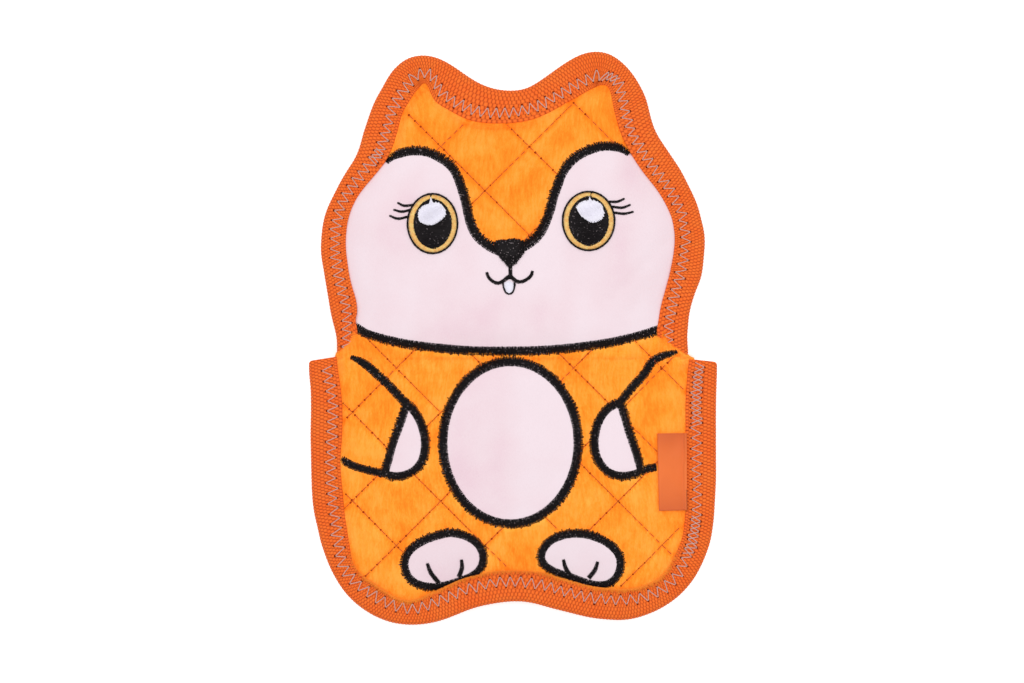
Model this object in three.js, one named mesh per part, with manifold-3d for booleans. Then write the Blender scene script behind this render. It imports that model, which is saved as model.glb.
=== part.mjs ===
// A flat plush dog toy in the shape of a sitting fox. It lies on its back: +Y runs to the ears and
// +Z comes out of the face. Two padded lobes, head and body, fold at the neckline. Millimetres.
import * as THREE from "three";
import { mergeVertices } from "three/addons/utils/BufferGeometryUtils.js";
import Module from "manifold-3d";

const wasm = await Module();
wasm.setup();

// Driving sizes. Heights of the lobes run from the neck fold to the ear tips and to the foot hem.
const headWidth = 167;
const headHeight = 132.8;
const bodyWidth = 178.4;
const bodyHeight = 117.2;
const seat = 0.3; // air left between pieces that touch
const overrun = 250; // how far a cutting tool runs past the toy

// Folded webbing round each lobe
const webThickness = 1.2;
const webFace = 13; // how far it reaches in over the plush
const webRound = 1.1; // rounding of the folded edge
const headWebEnd = 2.6; // its cut ends, from the fold
const bodyWebEnd = 1.5;

// Panels: plush over wadding, front and back, thin at the webbing and swelling towards the middle
const panelEdge = 2;
const panelRise = 6.5;
const riseReach = 32; // from the webbing to the full height
const plushEdge = 1.35;
const plushThickness = 2.6;
const waddingEdge = 0.2;
const waddingThickness = 1.6;
const quiltPitch = 27.2;
const quiltDepth = 1.3;
const quiltStartShares = { along: 0.55, across: 0.17 }; // where the diamonds start, of the pitch
const restCut = 0.5; // the back is flat where it lies

// The fold at the neck
const foldGap = 0.4;
const foldEase = 18;
const foldAngles = { forward: 60, backward: 90 };
const waddingFromFold = 8;
const clearShare = 0.95; // of the room that the fold leaves
const plushSlopeShare = 0.7; // of the slope that the trims may take up

// Embroidery and patches
const satinWidth = 3.3;
const satinRise = 0.8;
const patchThickness = 0.8;
const lashWidth = 1;
const mouthWidth = 1.6;
const toeWidth = 1.5;
const eyeLine = 0.6;
const eyeRing = 1.7;
const eyeHalfWidth = 11.2;
const eyeHalfHeight = 13.2;
const glintHalfWidth = 6.1;
const glintHalfHeight = 4.9;
const noseRise = 1.4;
const bellyHalfWidth = 29;
const bellyHalfHeight = 34.7;
const bellyFromFold = 3.4; // fold to the middle of the belly line

// Squeaker and label
const squeakerRadius = 19;
const squeakerWall = 1;
const squeakerHole = 4;
const squeakerBendShare = 0.75; // of its half height, in the rounding of the rim
const squeakerPlaceShare = 0.41; // fold to its middle, of the body's height
const reedBore = 1.2;
const labelWidth = 12.2;
const labelLength = 34.7;
const labelThickness = 0.6;
const labelFromFold = 50.3; // fold to the label's middle

// Mesh steps
const outlineStep = 8.2;
const satinStep = 6;
const loopStep = 4.8;
const patchStep = 1.8;
const eyeStep = 3.2;
const plushCellShare = 1 / 3; // of a quilt square
const waddingCellShare = 1 / 2;
const nearShare = 0.97; // of the distance a line is moved by, the least that its points keep
const leastCount = 3; // pieces in a line
const webRoundCount = 2;
const bendCount = 4;
const bulbSideCount = 22;
const reedSideCount = 12;

// Outlines, from the left of the neck over the lobe to its right: shares of half the width, and of the
// height from the fold
const headOutlineShares = [
  [-0.912, 0], [-0.927, 0.09], [-0.95, 0.157], [-0.98, 0.255], [-1, 0.36], [-0.98, 0.467],
  [-0.906, 0.562], [-0.823, 0.647], [-0.766, 0.745], [-0.714, 0.843], [-0.636, 0.931], [-0.564, 0.974],
  [-0.46, 0.987], [-0.356, 0.974], [-0.252, 0.928], [-0.138, 0.882], [0, 0.869], [0.101, 0.882],
  [0.216, 0.931], [0.34, 0.982], [0.444, 1], [0.548, 0.977], [0.642, 0.912], [0.699, 0.84],
  [0.735, 0.752], [0.823, 0.66], [0.922, 0.549], [0.99, 0.438], [1, 0.346], [0.969, 0.239],
  [0.927, 0.157], [0.917, 0.085], [0.927, 0],
];
const bodyOutlineShares = [
  [-1, 0], [-1, 0.074], [-0.99, 0.163], [-0.988, 0.348], [-0.978, 0.533], [-0.951, 0.663],
  [-0.903, 0.778], [-0.83, 0.874], [-0.742, 0.937], [-0.635, 0.981], [-0.494, 1], [-0.353, 0.983],
  [-0.217, 0.948], [-0.095, 0.919], [0.036, 0.911], [0.173, 0.933], [0.328, 0.967], [0.504, 0.981],
  [0.669, 0.959], [0.805, 0.9], [0.908, 0.804], [0.966, 0.693], [0.99, 0.533], [0.995, 0.348],
  [0.993, 0.163], [1, 0.074], [0.998, 0],
];

// Lines of the face, in the same shares of the head
const leftBrowShares = [
  [-0.64, 0.648], [-0.584, 0.662], [-0.491, 0.67], [-0.403, 0.655], [-0.33, 0.619], [-0.278, 0.556],
  [-0.247, 0.49], [-0.216, 0.422], [-0.158, 0.379], [-0.09, 0.354],
];
const rightBrowShares = [
  [0.59, 0.668], [0.555, 0.677], [0.496, 0.683], [0.403, 0.673], [0.314, 0.637], [0.252, 0.582],
  [0.216, 0.516], [0.19, 0.454], [0.138, 0.397], [0.08, 0.366],
];
const necklineShares = [
  [-0.74, 0.079], [-0.69, 0.068], [-0.6, 0.053], [-0.45, 0.038], [-0.28, 0.029], [-0.039, 0.026],
  [0.23, 0.028], [0.42, 0.037], [0.58, 0.054], [0.72, 0.077],
];
const noseShares = [
  [-0.101, 0.359], [-0.075, 0.377], [-0.013, 0.384], [0.044, 0.381], [0.073, 0.364], [0.039, 0.324],
  [-0.013, 0.292], [-0.07, 0.324],
];
const leftSmileShares = [[-0.135, 0.275], [-0.112, 0.252], [-0.065, 0.239], [-0.017, 0.25]];
const rightSmileShares = [[-0.017, 0.25], [0.029, 0.239], [0.081, 0.25], [0.101, 0.275]];
const philtrumShares = [[-0.016, 0.288], [-0.017, 0.25]];
const toothShares = [
  [-0.044, 0.229], [-0.038, 0.21], [-0.017, 0.2], [0.004, 0.21], [0.01, 0.229], [-0.017, 0.239],
];
const eyeShares = { left: [-0.413, 0.431], right: [0.395, 0.44] };
const glintShares = { left: [-0.417, 0.464], right: [0.403, 0.473] };
const lashShares = {
  left: [
    [[-0.595, 0.498], [-0.553, 0.49], [-0.53, 0.492]],
    [[-0.616, 0.478], [-0.574, 0.471], [-0.546, 0.473]],
    [[-0.636, 0.457], [-0.595, 0.449], [-0.56, 0.451]],
  ],
  right: [
    [[0.584, 0.511], [0.538, 0.503], [0.514, 0.505]],
    [[0.61, 0.492], [0.564, 0.484], [0.528, 0.487]],
    [[0.626, 0.471], [0.579, 0.464], [0.54, 0.467]],
  ],
};

// Arms and feet, in shares of the body
const armShares = {
  left: [[-0.76, 0.027], [-0.72, 0.044], [-0.659, 0.074], [-0.595, 0.118], [-0.548, 0.152]],
  right: [[0.735, 0.02], [0.698, 0.034], [0.645, 0.062], [0.59, 0.104], [0.545, 0.14]],
};
const forearmShares = {
  left: [[-0.825, 0.38], [-0.781, 0.4], [-0.713, 0.416], [-0.674, 0.422]],
  right: [[0.672, 0.418], [0.708, 0.411]],
};
const pawShares = {
  left: [
    [-0.518, 0.189], [-0.465, 0.228], [-0.426, 0.281], [-0.411, 0.341], [-0.426, 0.4],
    [-0.474, 0.437], [-0.547, 0.448], [-0.625, 0.433], [-0.611, 0.37], [-0.577, 0.3],
  ],
  right: [
    [0.518, 0.174], [0.465, 0.189], [0.421, 0.233], [0.394, 0.296], [0.397, 0.363], [0.436, 0.419],
    [0.504, 0.444], [0.572, 0.448], [0.625, 0.426], [0.601, 0.341], [0.562, 0.248],
  ],
};
const footShares = {
  left: [
    [-0.509, 0.785], [-0.494, 0.73], [-0.431, 0.693], [-0.319, 0.672], [-0.226, 0.683],
    [-0.165, 0.72], [-0.162, 0.763], [-0.212, 0.797], [-0.319, 0.823], [-0.426, 0.832], [-0.484, 0.814],
  ],
  right: [
    [0.168, 0.733], [0.19, 0.69], [0.265, 0.665], [0.367, 0.672], [0.465, 0.705], [0.515, 0.752],
    [0.51, 0.797], [0.455, 0.824], [0.353, 0.817], [0.241, 0.783], [0.186, 0.76],
  ],
};
const toeShares = {
  left: [
    [[-0.411, 0.774], [-0.397, 0.804], [-0.37, 0.822]],
    [[-0.251, 0.759], [-0.238, 0.785], [-0.25, 0.806]],
  ],
  right: [
    [[0.251, 0.752], [0.263, 0.775], [0.285, 0.79]],
    [[0.416, 0.763], [0.406, 0.79], [0.382, 0.812]],
  ],
};

const look = {
  plush: { color: 0xfa9628, roughness: 0.95 },
  wadding: { color: 0xf4f1ea, roughness: 1 },
  webbing: { color: 0xf56a24, roughness: 0.8 },
  velboa: { color: 0xf0dae1, roughness: 0.9 },
  black: { color: 0x1a1416, roughness: 0.6 },
  gold: { color: 0xf0c35a, roughness: 0.6 },
  white: { color: 0xf4f0f6, roughness: 0.7 },
  label: { color: 0xeb6e32, roughness: 0.75 },
  vinyl: { color: 0xe9e6da, roughness: 0.5 },
};

const toy = new THREE.Group();
const backReach = panelEdge + panelRise;
const midHeight = backReach - restCut;
toy.position.set(0, (bodyHeight - headHeight) / 2, midHeight);

function addMesh(name, geometry, finish) {
  geometry.computeVertexNormals();
  const mesh = new THREE.Mesh(geometry, new THREE.MeshStandardMaterial({ metalness: 0, ...look[finish] }));
  mesh.name = name;
  toy.add(mesh);
  return mesh;
}

// Solids for cutting and joining

function solidFromFaces(positions, triangles) {
  return new wasm.Manifold(new wasm.Mesh({
    numProp: 3,
    vertProperties: new Float32Array(positions),
    triVerts: new Uint32Array(triangles),
  }));
}

function solidFromGeometry(geometry) {
  const bare = geometry.clone();
  bare.deleteAttribute("normal");
  bare.deleteAttribute("uv");
  const merged = mergeVertices(bare);
  return solidFromFaces(merged.attributes.position.array, merged.index.array);
}

function geometryFromSolid(solid) {
  const mesh = solid.getMesh();
  const geometry = new THREE.BufferGeometry();
  geometry.setAttribute("position", new THREE.BufferAttribute(new Float32Array(mesh.vertProperties), 3));
  geometry.setIndex(new THREE.BufferAttribute(new Uint32Array(mesh.triVerts), 1));
  return geometry;
}

function addSolid(name, solid, finish) {
  return addMesh(name, geometryFromSolid(solid), finish);
}

// The same solid on the back of the toy
function turnedToBack(solid) {
  const mesh = solid.getMesh();
  const positions = Array.from(mesh.vertProperties, (value, at) => (at % 3 === 2 ? -value : value));
  const triangles = Array.from(mesh.triVerts);
  for (let at = 0; at < triangles.length; at += 3) {
    [triangles[at + 1], triangles[at + 2]] = [triangles[at + 2], triangles[at + 1]];
  }
  return solidFromFaces(positions, triangles);
}

// An upright wall round a closed line of points, from one height to another
function prism(points, low, high, round = 0) {
  const shape = new THREE.Shape(points.map(([x, y]) => new THREE.Vector2(x, y)));
  const geometry = new THREE.ExtrudeGeometry(shape, {
    depth: high - low - 2 * round,
    bevelEnabled: round > 0,
    bevelSize: round,
    bevelThickness: round,
    bevelOffset: -round,
    bevelSegments: webRoundCount,
  });
  geometry.translate(0, 0, low + round);
  return solidFromGeometry(geometry);
}

// Everything between a curved surface and a level plane, on a grid of square cells turned by an angle
function relief(height, level, cell, reach, turn = 0, [startX, startY] = [0, 0]) {
  const count = Math.ceil(reach / cell);
  const side = 2 * count + 1;
  const [cos, sin] = [Math.cos(turn), Math.sin(turn)];
  const surface = [];
  const plane = [];
  for (let row = -count; row <= count; row += 1) {
    for (let column = -count; column <= count; column += 1) {
      const x = startX + (column * cos - row * sin) * cell;
      const y = startY + (column * sin + row * cos) * cell;
      surface.push(x, y, height(x, y));
      plane.push(x, y, level);
    }
  }
  const under = side * side;
  const faces = [];
  const quad = (a, b, c, d) => faces.push(a, b, c, a, c, d);
  for (let row = 0; row < side - 1; row += 1) {
    for (let column = 0; column < side - 1; column += 1) {
      const corner = row * side + column;
      quad(corner, corner + 1, corner + side + 1, corner + side);
      quad(under + corner, under + corner + side, under + corner + side + 1, under + corner + 1);
    }
  }
  for (let at = 0; at < side - 1; at += 1) {
    const last = side - 1;
    quad(under + at, under + at + 1, at + 1, at);
    quad(last * side + at, last * side + at + 1, under + last * side + at + 1, under + last * side + at);
    quad(at * side, (at + 1) * side, under + (at + 1) * side, under + at * side);
    quad(under + at * side + last, under + (at + 1) * side + last, (at + 1) * side + last, at * side + last);
  }
  if (level > surface[2]) {
    for (let at = 0; at < faces.length; at += 3) {
      [faces[at + 1], faces[at + 2]] = [faces[at + 2], faces[at + 1]];
    }
  }
  return solidFromFaces([...surface, ...plane], faces);
}

// Lines in the plane of the toy

function smoothLine(points, step, closed = false) {
  const curve = new THREE.CatmullRomCurve3(
    points.map(([x, y]) => new THREE.Vector3(x, y, 0)), closed, "centripetal");
  const count = Math.max(leastCount, Math.round(curve.getLength() / step));
  const line = curve.getSpacedPoints(count).map(({ x, y }) => [x, y]);
  return closed ? line.slice(0, -1) : line;
}

function distanceToSegment(x, y, [ax, ay], [bx, by]) {
  const [dx, dy] = [bx - ax, by - ay];
  const along = Math.min(1, Math.max(0, ((x - ax) * dx + (y - ay) * dy) / (dx * dx + dy * dy)));
  return Math.hypot(x - ax - along * dx, y - ay - along * dy);
}

function distanceToLine(x, y, line, closed = false) {
  let least = Infinity;
  for (let at = closed ? 0 : 1; at < line.length; at += 1) {
    least = Math.min(least, distanceToSegment(x, y, line.at(at - 1), line[at]));
  }
  return least;
}

function isInside(x, y, ring) {
  let inside = false;
  ring.forEach(([bx, by], at) => {
    const [ax, ay] = ring.at(at - 1);
    if ((ay > y) !== (by > y) && x < ax + ((y - ay) / (by - ay)) * (bx - ax)) inside = !inside;
  });
  return inside;
}

// A line moved sideways, to its left for a positive distance, without the loops that tight bends make
function movedLine(line, distance, closed = false) {
  const last = line.length - 1;
  const moved = line.map(([x, y], at) => {
    const before = closed ? line.at(at - 1) : line[Math.max(0, at - 1)];
    const after = closed ? line[(at + 1) % line.length] : line[Math.min(last, at + 1)];
    const [dx, dy] = [after[0] - before[0], after[1] - before[1]];
    const length = Math.hypot(dx, dy);
    return [x - (dy / length) * distance, y + (dx / length) * distance];
  });
  return moved.filter(([x, y]) => distanceToLine(x, y, line, closed) >= Math.abs(distance) * nearShare);
}

function ellipse([x, y], half, step) {
  const count = Math.round((Math.PI * (half.across + half.along)) / step);
  return Array.from({ length: count }, (_, at) => {
    const turn = (2 * Math.PI * at) / count;
    return [x + half.across * Math.cos(turn), y + half.along * Math.sin(turn)];
  });
}

// The plush's grid, turned to run along the quilting

const quiltTurn = Math.PI / 4;
const quiltStart = [
  (quiltStartShares.along - quiltStartShares.across) * quiltPitch * Math.SQRT1_2,
  (quiltStartShares.along + quiltStartShares.across) * quiltPitch * Math.SQRT1_2,
];
const widest = Math.max(headWidth, bodyWidth);
const panelReach = Math.hypot(Math.max(headHeight, bodyHeight), widest / 2) + quiltPitch;
const plushCell = quiltPitch * plushCellShare;
const waddingCell = quiltPitch * waddingCellShare;
const quilted = (height, level, cell) => relief(height, level, cell, panelReach, quiltTurn, quiltStart);

// A height as the plush's flat facets have it, between the corners of its cells
function onPlushGrid(height) {
  const known = new Map();
  const [cos, sin] = [Math.cos(quiltTurn), Math.sin(quiltTurn)];
  const corner = (column, row) => {
    const key = `${column},${row}`;
    if (!known.has(key)) {
      const x = quiltStart[0] + (column * cos - row * sin) * plushCell;
      const y = quiltStart[1] + (column * sin + row * cos) * plushCell;
      known.set(key, height(x, y));
    }
    return known.get(key);
  };
  return (x, y) => {
    const [dx, dy] = [x - quiltStart[0], y - quiltStart[1]];
    const column = (dx * cos + dy * sin) / plushCell;
    const row = (dy * cos - dx * sin) / plushCell;
    const [atColumn, atRow] = [Math.floor(column), Math.floor(row)];
    const [right, up] = [column - atColumn, row - atRow];
    const near = corner(atColumn, atRow);
    const far = corner(atColumn + 1, atRow + 1);
    const beside = right >= up ? corner(atColumn + 1, atRow) : corner(atColumn, atRow + 1);
    const [first, second] = [Math.max(right, up), Math.min(right, up)];
    return near + first * (beside - near) + second * (far - beside);
  };
}

// The two lobes. Each is drawn from the fold, which is the line y = 0; up is +1 for the head.

const forwardSlope = Math.tan(THREE.MathUtils.degToRad((180 - foldAngles.forward) / 2));
const backwardSlope = Math.tan(THREE.MathUtils.degToRad((180 - foldAngles.backward) / 2));
const trimSlope = forwardSlope * clearShare;
const plushSlope = trimSlope * plushSlopeShare;
const backSlope = backwardSlope * clearShare;

function makeLobe(up, width, height, outlineShares) {
  const place = ([across, along]) => [across * (width / 2), up * along * height];
  const edge = smoothLine(outlineShares.map(place), outlineStep);
  // Carried on straight past the fold, where the cuts trim it
  const closedOff = (line) => {
    const [start, end] = [line[0], line.at(-1)];
    return [[start[0], -up * overrun], ...line, [end[0], -up * overrun]];
  };
  const inner = (distance) => closedOff(movedLine(edge, -up * distance));
  const outlineRing = closedOff(edge);
  const depth = (x, y) => distanceToLine(x, y, edge) * (isInside(x, y, outlineRing) ? 1 : -1);
  const nearFold = (y) => (1 - THREE.MathUtils.clamp((y * up) / foldEase, 0, 1)) ** 2;
  const swell = (x, y) => {
    const fromWeb = THREE.MathUtils.clamp((depth(x, y) - webFace) / riseReach, 0, 1);
    return (1 - (1 - fromWeb) ** 2) * (1 - nearFold(y));
  };
  const top = (x, y) => panelEdge + panelRise * swell(x, y);
  const faceted = onPlushGrid(top);
  const plushSeat = (x, y) => Math.min(faceted(x, y), plushSlope * (y * up - foldGap / 2)) + seat;
  const trimLimit = (y) => trimSlope * (y * up - foldGap / 2);
  return { up, place, inner, outlineRing, nearFold, swell, top, plushSeat, trimLimit };
}

const head = makeLobe(1, headWidth, headHeight, headOutlineShares);
const body = makeLobe(-1, bodyWidth, bodyHeight, bodyOutlineShares);

// The room on one side of the fold, between a slope in front and one behind
function foldRoom({ up }, frontSlope, behindSlope, fromFold = foldGap / 2) {
  const slopesFrom = foldGap / 2;
  const corners = [
    [fromFold, -behindSlope * (fromFold - slopesFrom)],
    [overrun, -behindSlope * (overrun - slopesFrom)],
    [overrun, frontSlope * (overrun - slopesFrom)],
  ];
  if (fromFold > slopesFrom) corners.push([fromFold, frontSlope * (fromFold - slopesFrom)]);
  const shape = new THREE.Shape(corners.map(([away, z]) => new THREE.Vector2(away, z)));
  const geometry = new THREE.ExtrudeGeometry(shape, { depth: 2 * overrun, bevelEnabled: false });
  geometry.translate(0, 0, -overrun);
  geometry.rotateX(Math.PI / 2);
  geometry.rotateZ(up * (Math.PI / 2));
  return solidFromGeometry(geometry);
}

// Panels

// How far the quilting pulls the plush in: full on the stitched lines, nothing in a square's middle
function quiltPull(x, y) {
  const along = ((x + y) * Math.SQRT1_2) / quiltPitch - quiltStartShares.along;
  const across = ((y - x) * Math.SQRT1_2) / quiltPitch - quiltStartShares.across;
  return 1 - Math.sqrt(Math.abs(Math.sin(Math.PI * along) * Math.sin(Math.PI * across)));
}

const lerp = THREE.MathUtils.lerp;
const plushUnder = (lobe) => (x, y) =>
  lobe.top(x, y) - lerp(plushEdge, plushThickness, lobe.swell(x, y)) - panelEdge * lobe.nearFold(y);
const waddingOver = (lobe) => (x, y) => plushUnder(lobe)(x, y) - seat;
const waddingUnder = (lobe) => (x, y) =>
  waddingOver(lobe)(x, y) - lerp(waddingEdge, waddingThickness, lobe.swell(x, y));

function makePlush(lobe, slope) {
  const skin = (x, y) => lobe.top(x, y) - quiltDepth * quiltPull(x, y) * Math.sqrt(lobe.swell(x, y));
  const underside = (x, y) => Math.max(seat / 2, plushUnder(lobe)(x, y));
  const webRing = prism(lobe.outlineRing, panelEdge, overrun).subtract(
    prism(lobe.inner(webFace + seat), -overrun, 2 * overrun));
  return quilted(skin, -overrun, plushCell)
    .intersect(quilted(underside, overrun, waddingCell))
    .intersect(prism(lobe.inner(webThickness + seat), -overrun, overrun))
    .intersect(foldRoom(lobe, slope, slope))
    .subtract(webRing);
}

function makeWadding(lobe) {
  const underside = (x, y) => Math.max(seat / 2, waddingUnder(lobe)(x, y));
  return quilted(waddingOver(lobe), -overrun, waddingCell)
    .intersect(quilted(underside, overrun, waddingCell))
    .intersect(prism(lobe.inner(webThickness + seat), -overrun, overrun))
    .intersect(foldRoom(lobe, backSlope, backSlope, waddingFromFold));
}

function makeBinding(lobe, fromFold) {
  const slot = panelEdge + seat;
  const outside = slot + webThickness;
  return prism(lobe.outlineRing, -outside, outside, webRound)
    .subtract(prism(lobe.inner(webThickness), -slot, slot))
    .subtract(prism(lobe.inner(webFace), -overrun, overrun))
    .intersect(foldRoom(lobe, trimSlope, backSlope, fromFold));
}

for (const [name, lobe, webEnd] of [["head", head, headWebEnd], ["body", body, bodyWebEnd]]) {
  const level = prism([[-overrun, -overrun], [overrun, -overrun], [overrun, overrun], [-overrun, overrun]],
    -midHeight, overrun);
  const wadding = makeWadding(lobe);
  addSolid(`${name}_front_plush`, makePlush(lobe, plushSlope), "plush");
  addSolid(`${name}_front_wadding`, wadding, "wadding");
  addSolid(`${name}_back_wadding`, turnedToBack(wadding), "wadding");
  addSolid(`${name}_back_plush`, turnedToBack(makePlush(lobe, backSlope)).intersect(level), "plush");
  addSolid(`${name}_binding`, makeBinding(lobe, webEnd), "webbing");
}

// Embroidered lines: a low rounded ridge that follows the plush, or the patch that lifts it

const sectionShares = [
  { across: 1, rise: 0.3 }, { across: 0.5, rise: 1 }, { across: -0.5, rise: 1 }, { across: -1, rise: 0.3 },
  { across: -1, rise: 0 }, { across: 0, rise: 0 }, { across: 1, rise: 0 },
];
const onPatch = patchThickness + seat;

function makeLine(lobe, places, width, { lift = 0, closed = false, step = satinStep } = {}) {
  const line = closed ? places : smoothLine(places, step);
  const last = line.length - 1;
  const positions = [];
  const faces = [];
  line.forEach(([x, y], at) => {
    const before = closed ? line.at(at - 1) : line[Math.max(0, at - 1)];
    const after = closed ? line[(at + 1) % line.length] : line[Math.min(last, at + 1)];
    const length = Math.hypot(after[0] - before[0], after[1] - before[1]);
    const side = [-(after[1] - before[1]) / length, (after[0] - before[0]) / length];
    for (const point of sectionShares) {
      const px = x + side[0] * point.across * (width / 2);
      const py = y + side[1] * point.across * (width / 2);
      const base = lobe.plushSeat(px, py) + lift;
      const top = Math.min(base + satinRise * point.rise, lobe.trimLimit(py));
      positions.push(px, py, point.rise ? top : base);
    }
  });
  const sides = sectionShares.length;
  const rings = closed ? line.length : last;
  for (let ring = 0; ring < rings; ring += 1) {
    const next = (ring + 1) % line.length;
    for (let at = 0; at < sides; at += 1) {
      const then = (at + 1) % sides;
      const [a, b, c, d] = [ring * sides + at, ring * sides + then, next * sides + then, next * sides + at];
      faces.push(a, b, c, a, c, d);
    }
  }
  if (!closed) {
    for (let at = 1; at < sides - 1; at += 1) {
      faces.push(0, at + 1, at);
      faces.push(last * sides, last * sides + at, last * sides + at + 1);
    }
  }
  return solidFromFaces(positions, faces);
}

// A flat piece laid over the plush, inside a closed line of points. It has the plush's own grid, so the
// two lie parallel.
function makePatch(lobe, ring, thickness, lift = 0) {
  const base = (x, y) => lobe.top(x, y) + seat + lift;
  return quilted((x, y) => base(x, y) + thickness, -overrun, plushCell)
    .intersect(quilted(base, overrun, plushCell))
    .intersect(prism(ring, -overrun, overrun));
}

// Face

const browOf = { left: leftBrowShares.map(head.place), right: rightBrowShares.map(head.place) };
const neckline = necklineShares.map(head.place);
const patchInset = satinWidth / 2 + seat;

function makeFacePatch() {
  const left = movedLine(smoothLine(browOf.left, satinStep), -patchInset);
  const right = movedLine(smoothLine(browOf.right, satinStep), patchInset);
  const forehead = [[-headWidth, overrun], [-headWidth, left[0][1]], ...left,
    ...right.toReversed(), [headWidth, right[0][1]], [headWidth, overrun]];
  const hem = movedLine(smoothLine(neckline, satinStep), patchInset);
  const below = [[-headWidth, hem[0][1]], ...hem, [headWidth, hem.at(-1)[1]],
    [headWidth, -overrun], [-headWidth, -overrun]];
  return makePatch(head, head.inner(webFace + seat), patchThickness)
    .subtract(prism(forehead, -overrun, 2 * overrun))
    .subtract(prism(below, -overrun, 2 * overrun));
}

addSolid("face_patch", makeFacePatch(), "velboa");
addSolid("brow_line_left", makeLine(head, browOf.left, satinWidth), "black");
addSolid("brow_line_right", makeLine(head, browOf.right, satinWidth), "black");
addSolid("neckline", makeLine(head, neckline, satinWidth, { lift: seat }), "black");

const nose = smoothLine(noseShares.map(head.place), satinStep / 2, true);
addSolid("nose", makePatch(head, nose, noseRise, onPatch), "black");
const thin = { lift: onPatch, step: satinStep / 2 };
addSolid("mouth", makeLine(head, leftSmileShares.map(head.place), mouthWidth, thin)
  .add(makeLine(head, rightSmileShares.map(head.place), mouthWidth, thin))
  .add(makeLine(head, philtrumShares.map(head.place), mouthWidth, thin)), "black");
const tooth = toothShares.map(head.place);
addSolid("tooth", makePatch(head, tooth, satinRise, onPatch), "white");

const eyeHalf = { across: eyeHalfWidth, along: eyeHalfHeight };
const glintHalf = { across: glintHalfWidth, along: glintHalfHeight };
const grown = (half, by) => ({ across: half.across + by, along: half.along + by });

for (const side of ["left", "right"]) {
  const middle = head.place(eyeShares[side]);
  const eyeRim = ellipse(middle, grown(eyeHalf, -eyeLine / 2), eyeStep);
  const goldHalf = grown(eyeHalf, -eyeLine - seat - eyeRing / 2);
  const closed = { lift: onPatch, closed: true };
  addSolid(`eye_line_${side}`, makeLine(head, eyeRim, eyeLine, closed), "black");
  addSolid(`eye_ring_${side}`, makeLine(head, ellipse(middle, goldHalf, eyeStep), eyeRing, closed), "gold");
  const pupilEdge = grown(goldHalf, -eyeRing / 2 - seat);
  const pupil = makePatch(head, ellipse(middle, pupilEdge, eyeStep), satinRise, onPatch);
  const glintMiddle = head.place(glintShares[side]);
  const glint = ellipse(glintMiddle, glintHalf, eyeStep);
  const glintHole = prism(ellipse(glintMiddle, grown(glintHalf, seat), eyeStep), -overrun, overrun);
  addSolid(`pupil_${side}`, pupil.subtract(glintHole), "black");
  addSolid(`glint_${side}`, makePatch(head, glint, satinRise, onPatch), "white");
  lashShares[side].forEach((shares, at) => {
    addSolid(`lash_${side}_${at + 1}`, makeLine(head, shares.map(head.place), lashWidth, thin), "black");
  });
}

// Belly, arms and feet

const bellyHalf = { across: bellyHalfWidth, along: bellyHalfHeight };
const bellyMiddle = [0, -(bellyFromFold + bellyHalfHeight)];
addSolid("belly_line", makeLine(body, ellipse(bellyMiddle, bellyHalf, satinStep), satinWidth,
  { closed: true, lift: seat }), "black");
addSolid("belly_patch", makePatch(body, ellipse(bellyMiddle, grown(bellyHalf, -patchInset), satinStep),
  patchThickness), "velboa");

for (const side of ["left", "right"]) {
  const arm = makeLine(body, armShares[side].map(body.place), satinWidth, { lift: seat });
  addSolid(`arm_line_${side}`, arm, "black");
  addSolid(`forearm_line_${side}`, makeLine(body, forearmShares[side].map(body.place), satinWidth), "black");
  for (const [limb, shares] of [["paw", pawShares[side]], ["foot", footShares[side]]]) {
    const loop = smoothLine(shares.map(body.place), loopStep, true);
    const turn = THREE.ShapeUtils.area(loop.map(([x, y]) => new THREE.Vector2(x, y))) > 0 ? 1 : -1;
    const fineLoop = smoothLine(shares.map(body.place), patchStep, true);
    const inside = movedLine(fineLoop, turn * (patchInset + seat), true);
    addSolid(`${limb}_line_${side}`, makeLine(body, loop, satinWidth, { closed: true }), "black");
    addSolid(`${limb}_patch_${side}`, makePatch(body, inside, patchThickness), "velboa");
  }
  toeShares[side].forEach((shares, at) => {
    addSolid(`toe_line_${side}_${at + 1}`, makeLine(body, shares.map(body.place), toeWidth, thin), "black");
  });
}

// Squeaker: a hollow flat bulb between the waddings, with its reed in the top

const squeakerFromFold = bodyHeight * squeakerPlaceShare;
const squeakerHalf = waddingUnder(body)(0, -(squeakerFromFold + squeakerRadius)) - seat;
const bend = squeakerHalf * squeakerBendShare;
const flatRadius = squeakerRadius - bend;
const quarter = (radiusOut, radiusUp, from, to) => Array.from({ length: bendCount + 1 }, (_, at) => {
  const turn = lerp(from, to, at / bendCount);
  return new THREE.Vector2(flatRadius + radiusOut * Math.cos(turn), radiusUp * Math.sin(turn));
});
const bulbProfile = [
  new THREE.Vector2(0, -squeakerHalf),
  ...quarter(bend, squeakerHalf, -Math.PI / 2, Math.PI / 2),
  new THREE.Vector2(squeakerHole, squeakerHalf),
  new THREE.Vector2(squeakerHole, squeakerHalf - squeakerWall),
  ...quarter(bend - squeakerWall, squeakerHalf - squeakerWall, Math.PI / 2, -Math.PI / 2),
  new THREE.Vector2(0, squeakerWall - squeakerHalf),
];
const reedRadius = squeakerHole - seat;
const reedLow = -(squeakerHalf - squeakerWall) / 2;
const reedProfile = [
  [reedBore, reedLow], [reedRadius, reedLow], [reedRadius, squeakerHalf],
  [reedBore, squeakerHalf], [reedBore, reedLow],
].map(([x, y]) => new THREE.Vector2(x, y));

function addTurned(name, profile, segments, finish) {
  const geometry = new THREE.LatheGeometry(profile, segments);
  geometry.rotateX(Math.PI / 2);
  const mesh = addSolid(name, solidFromGeometry(geometry), finish);
  mesh.position.set(0, -squeakerFromFold, 0);
}

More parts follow.
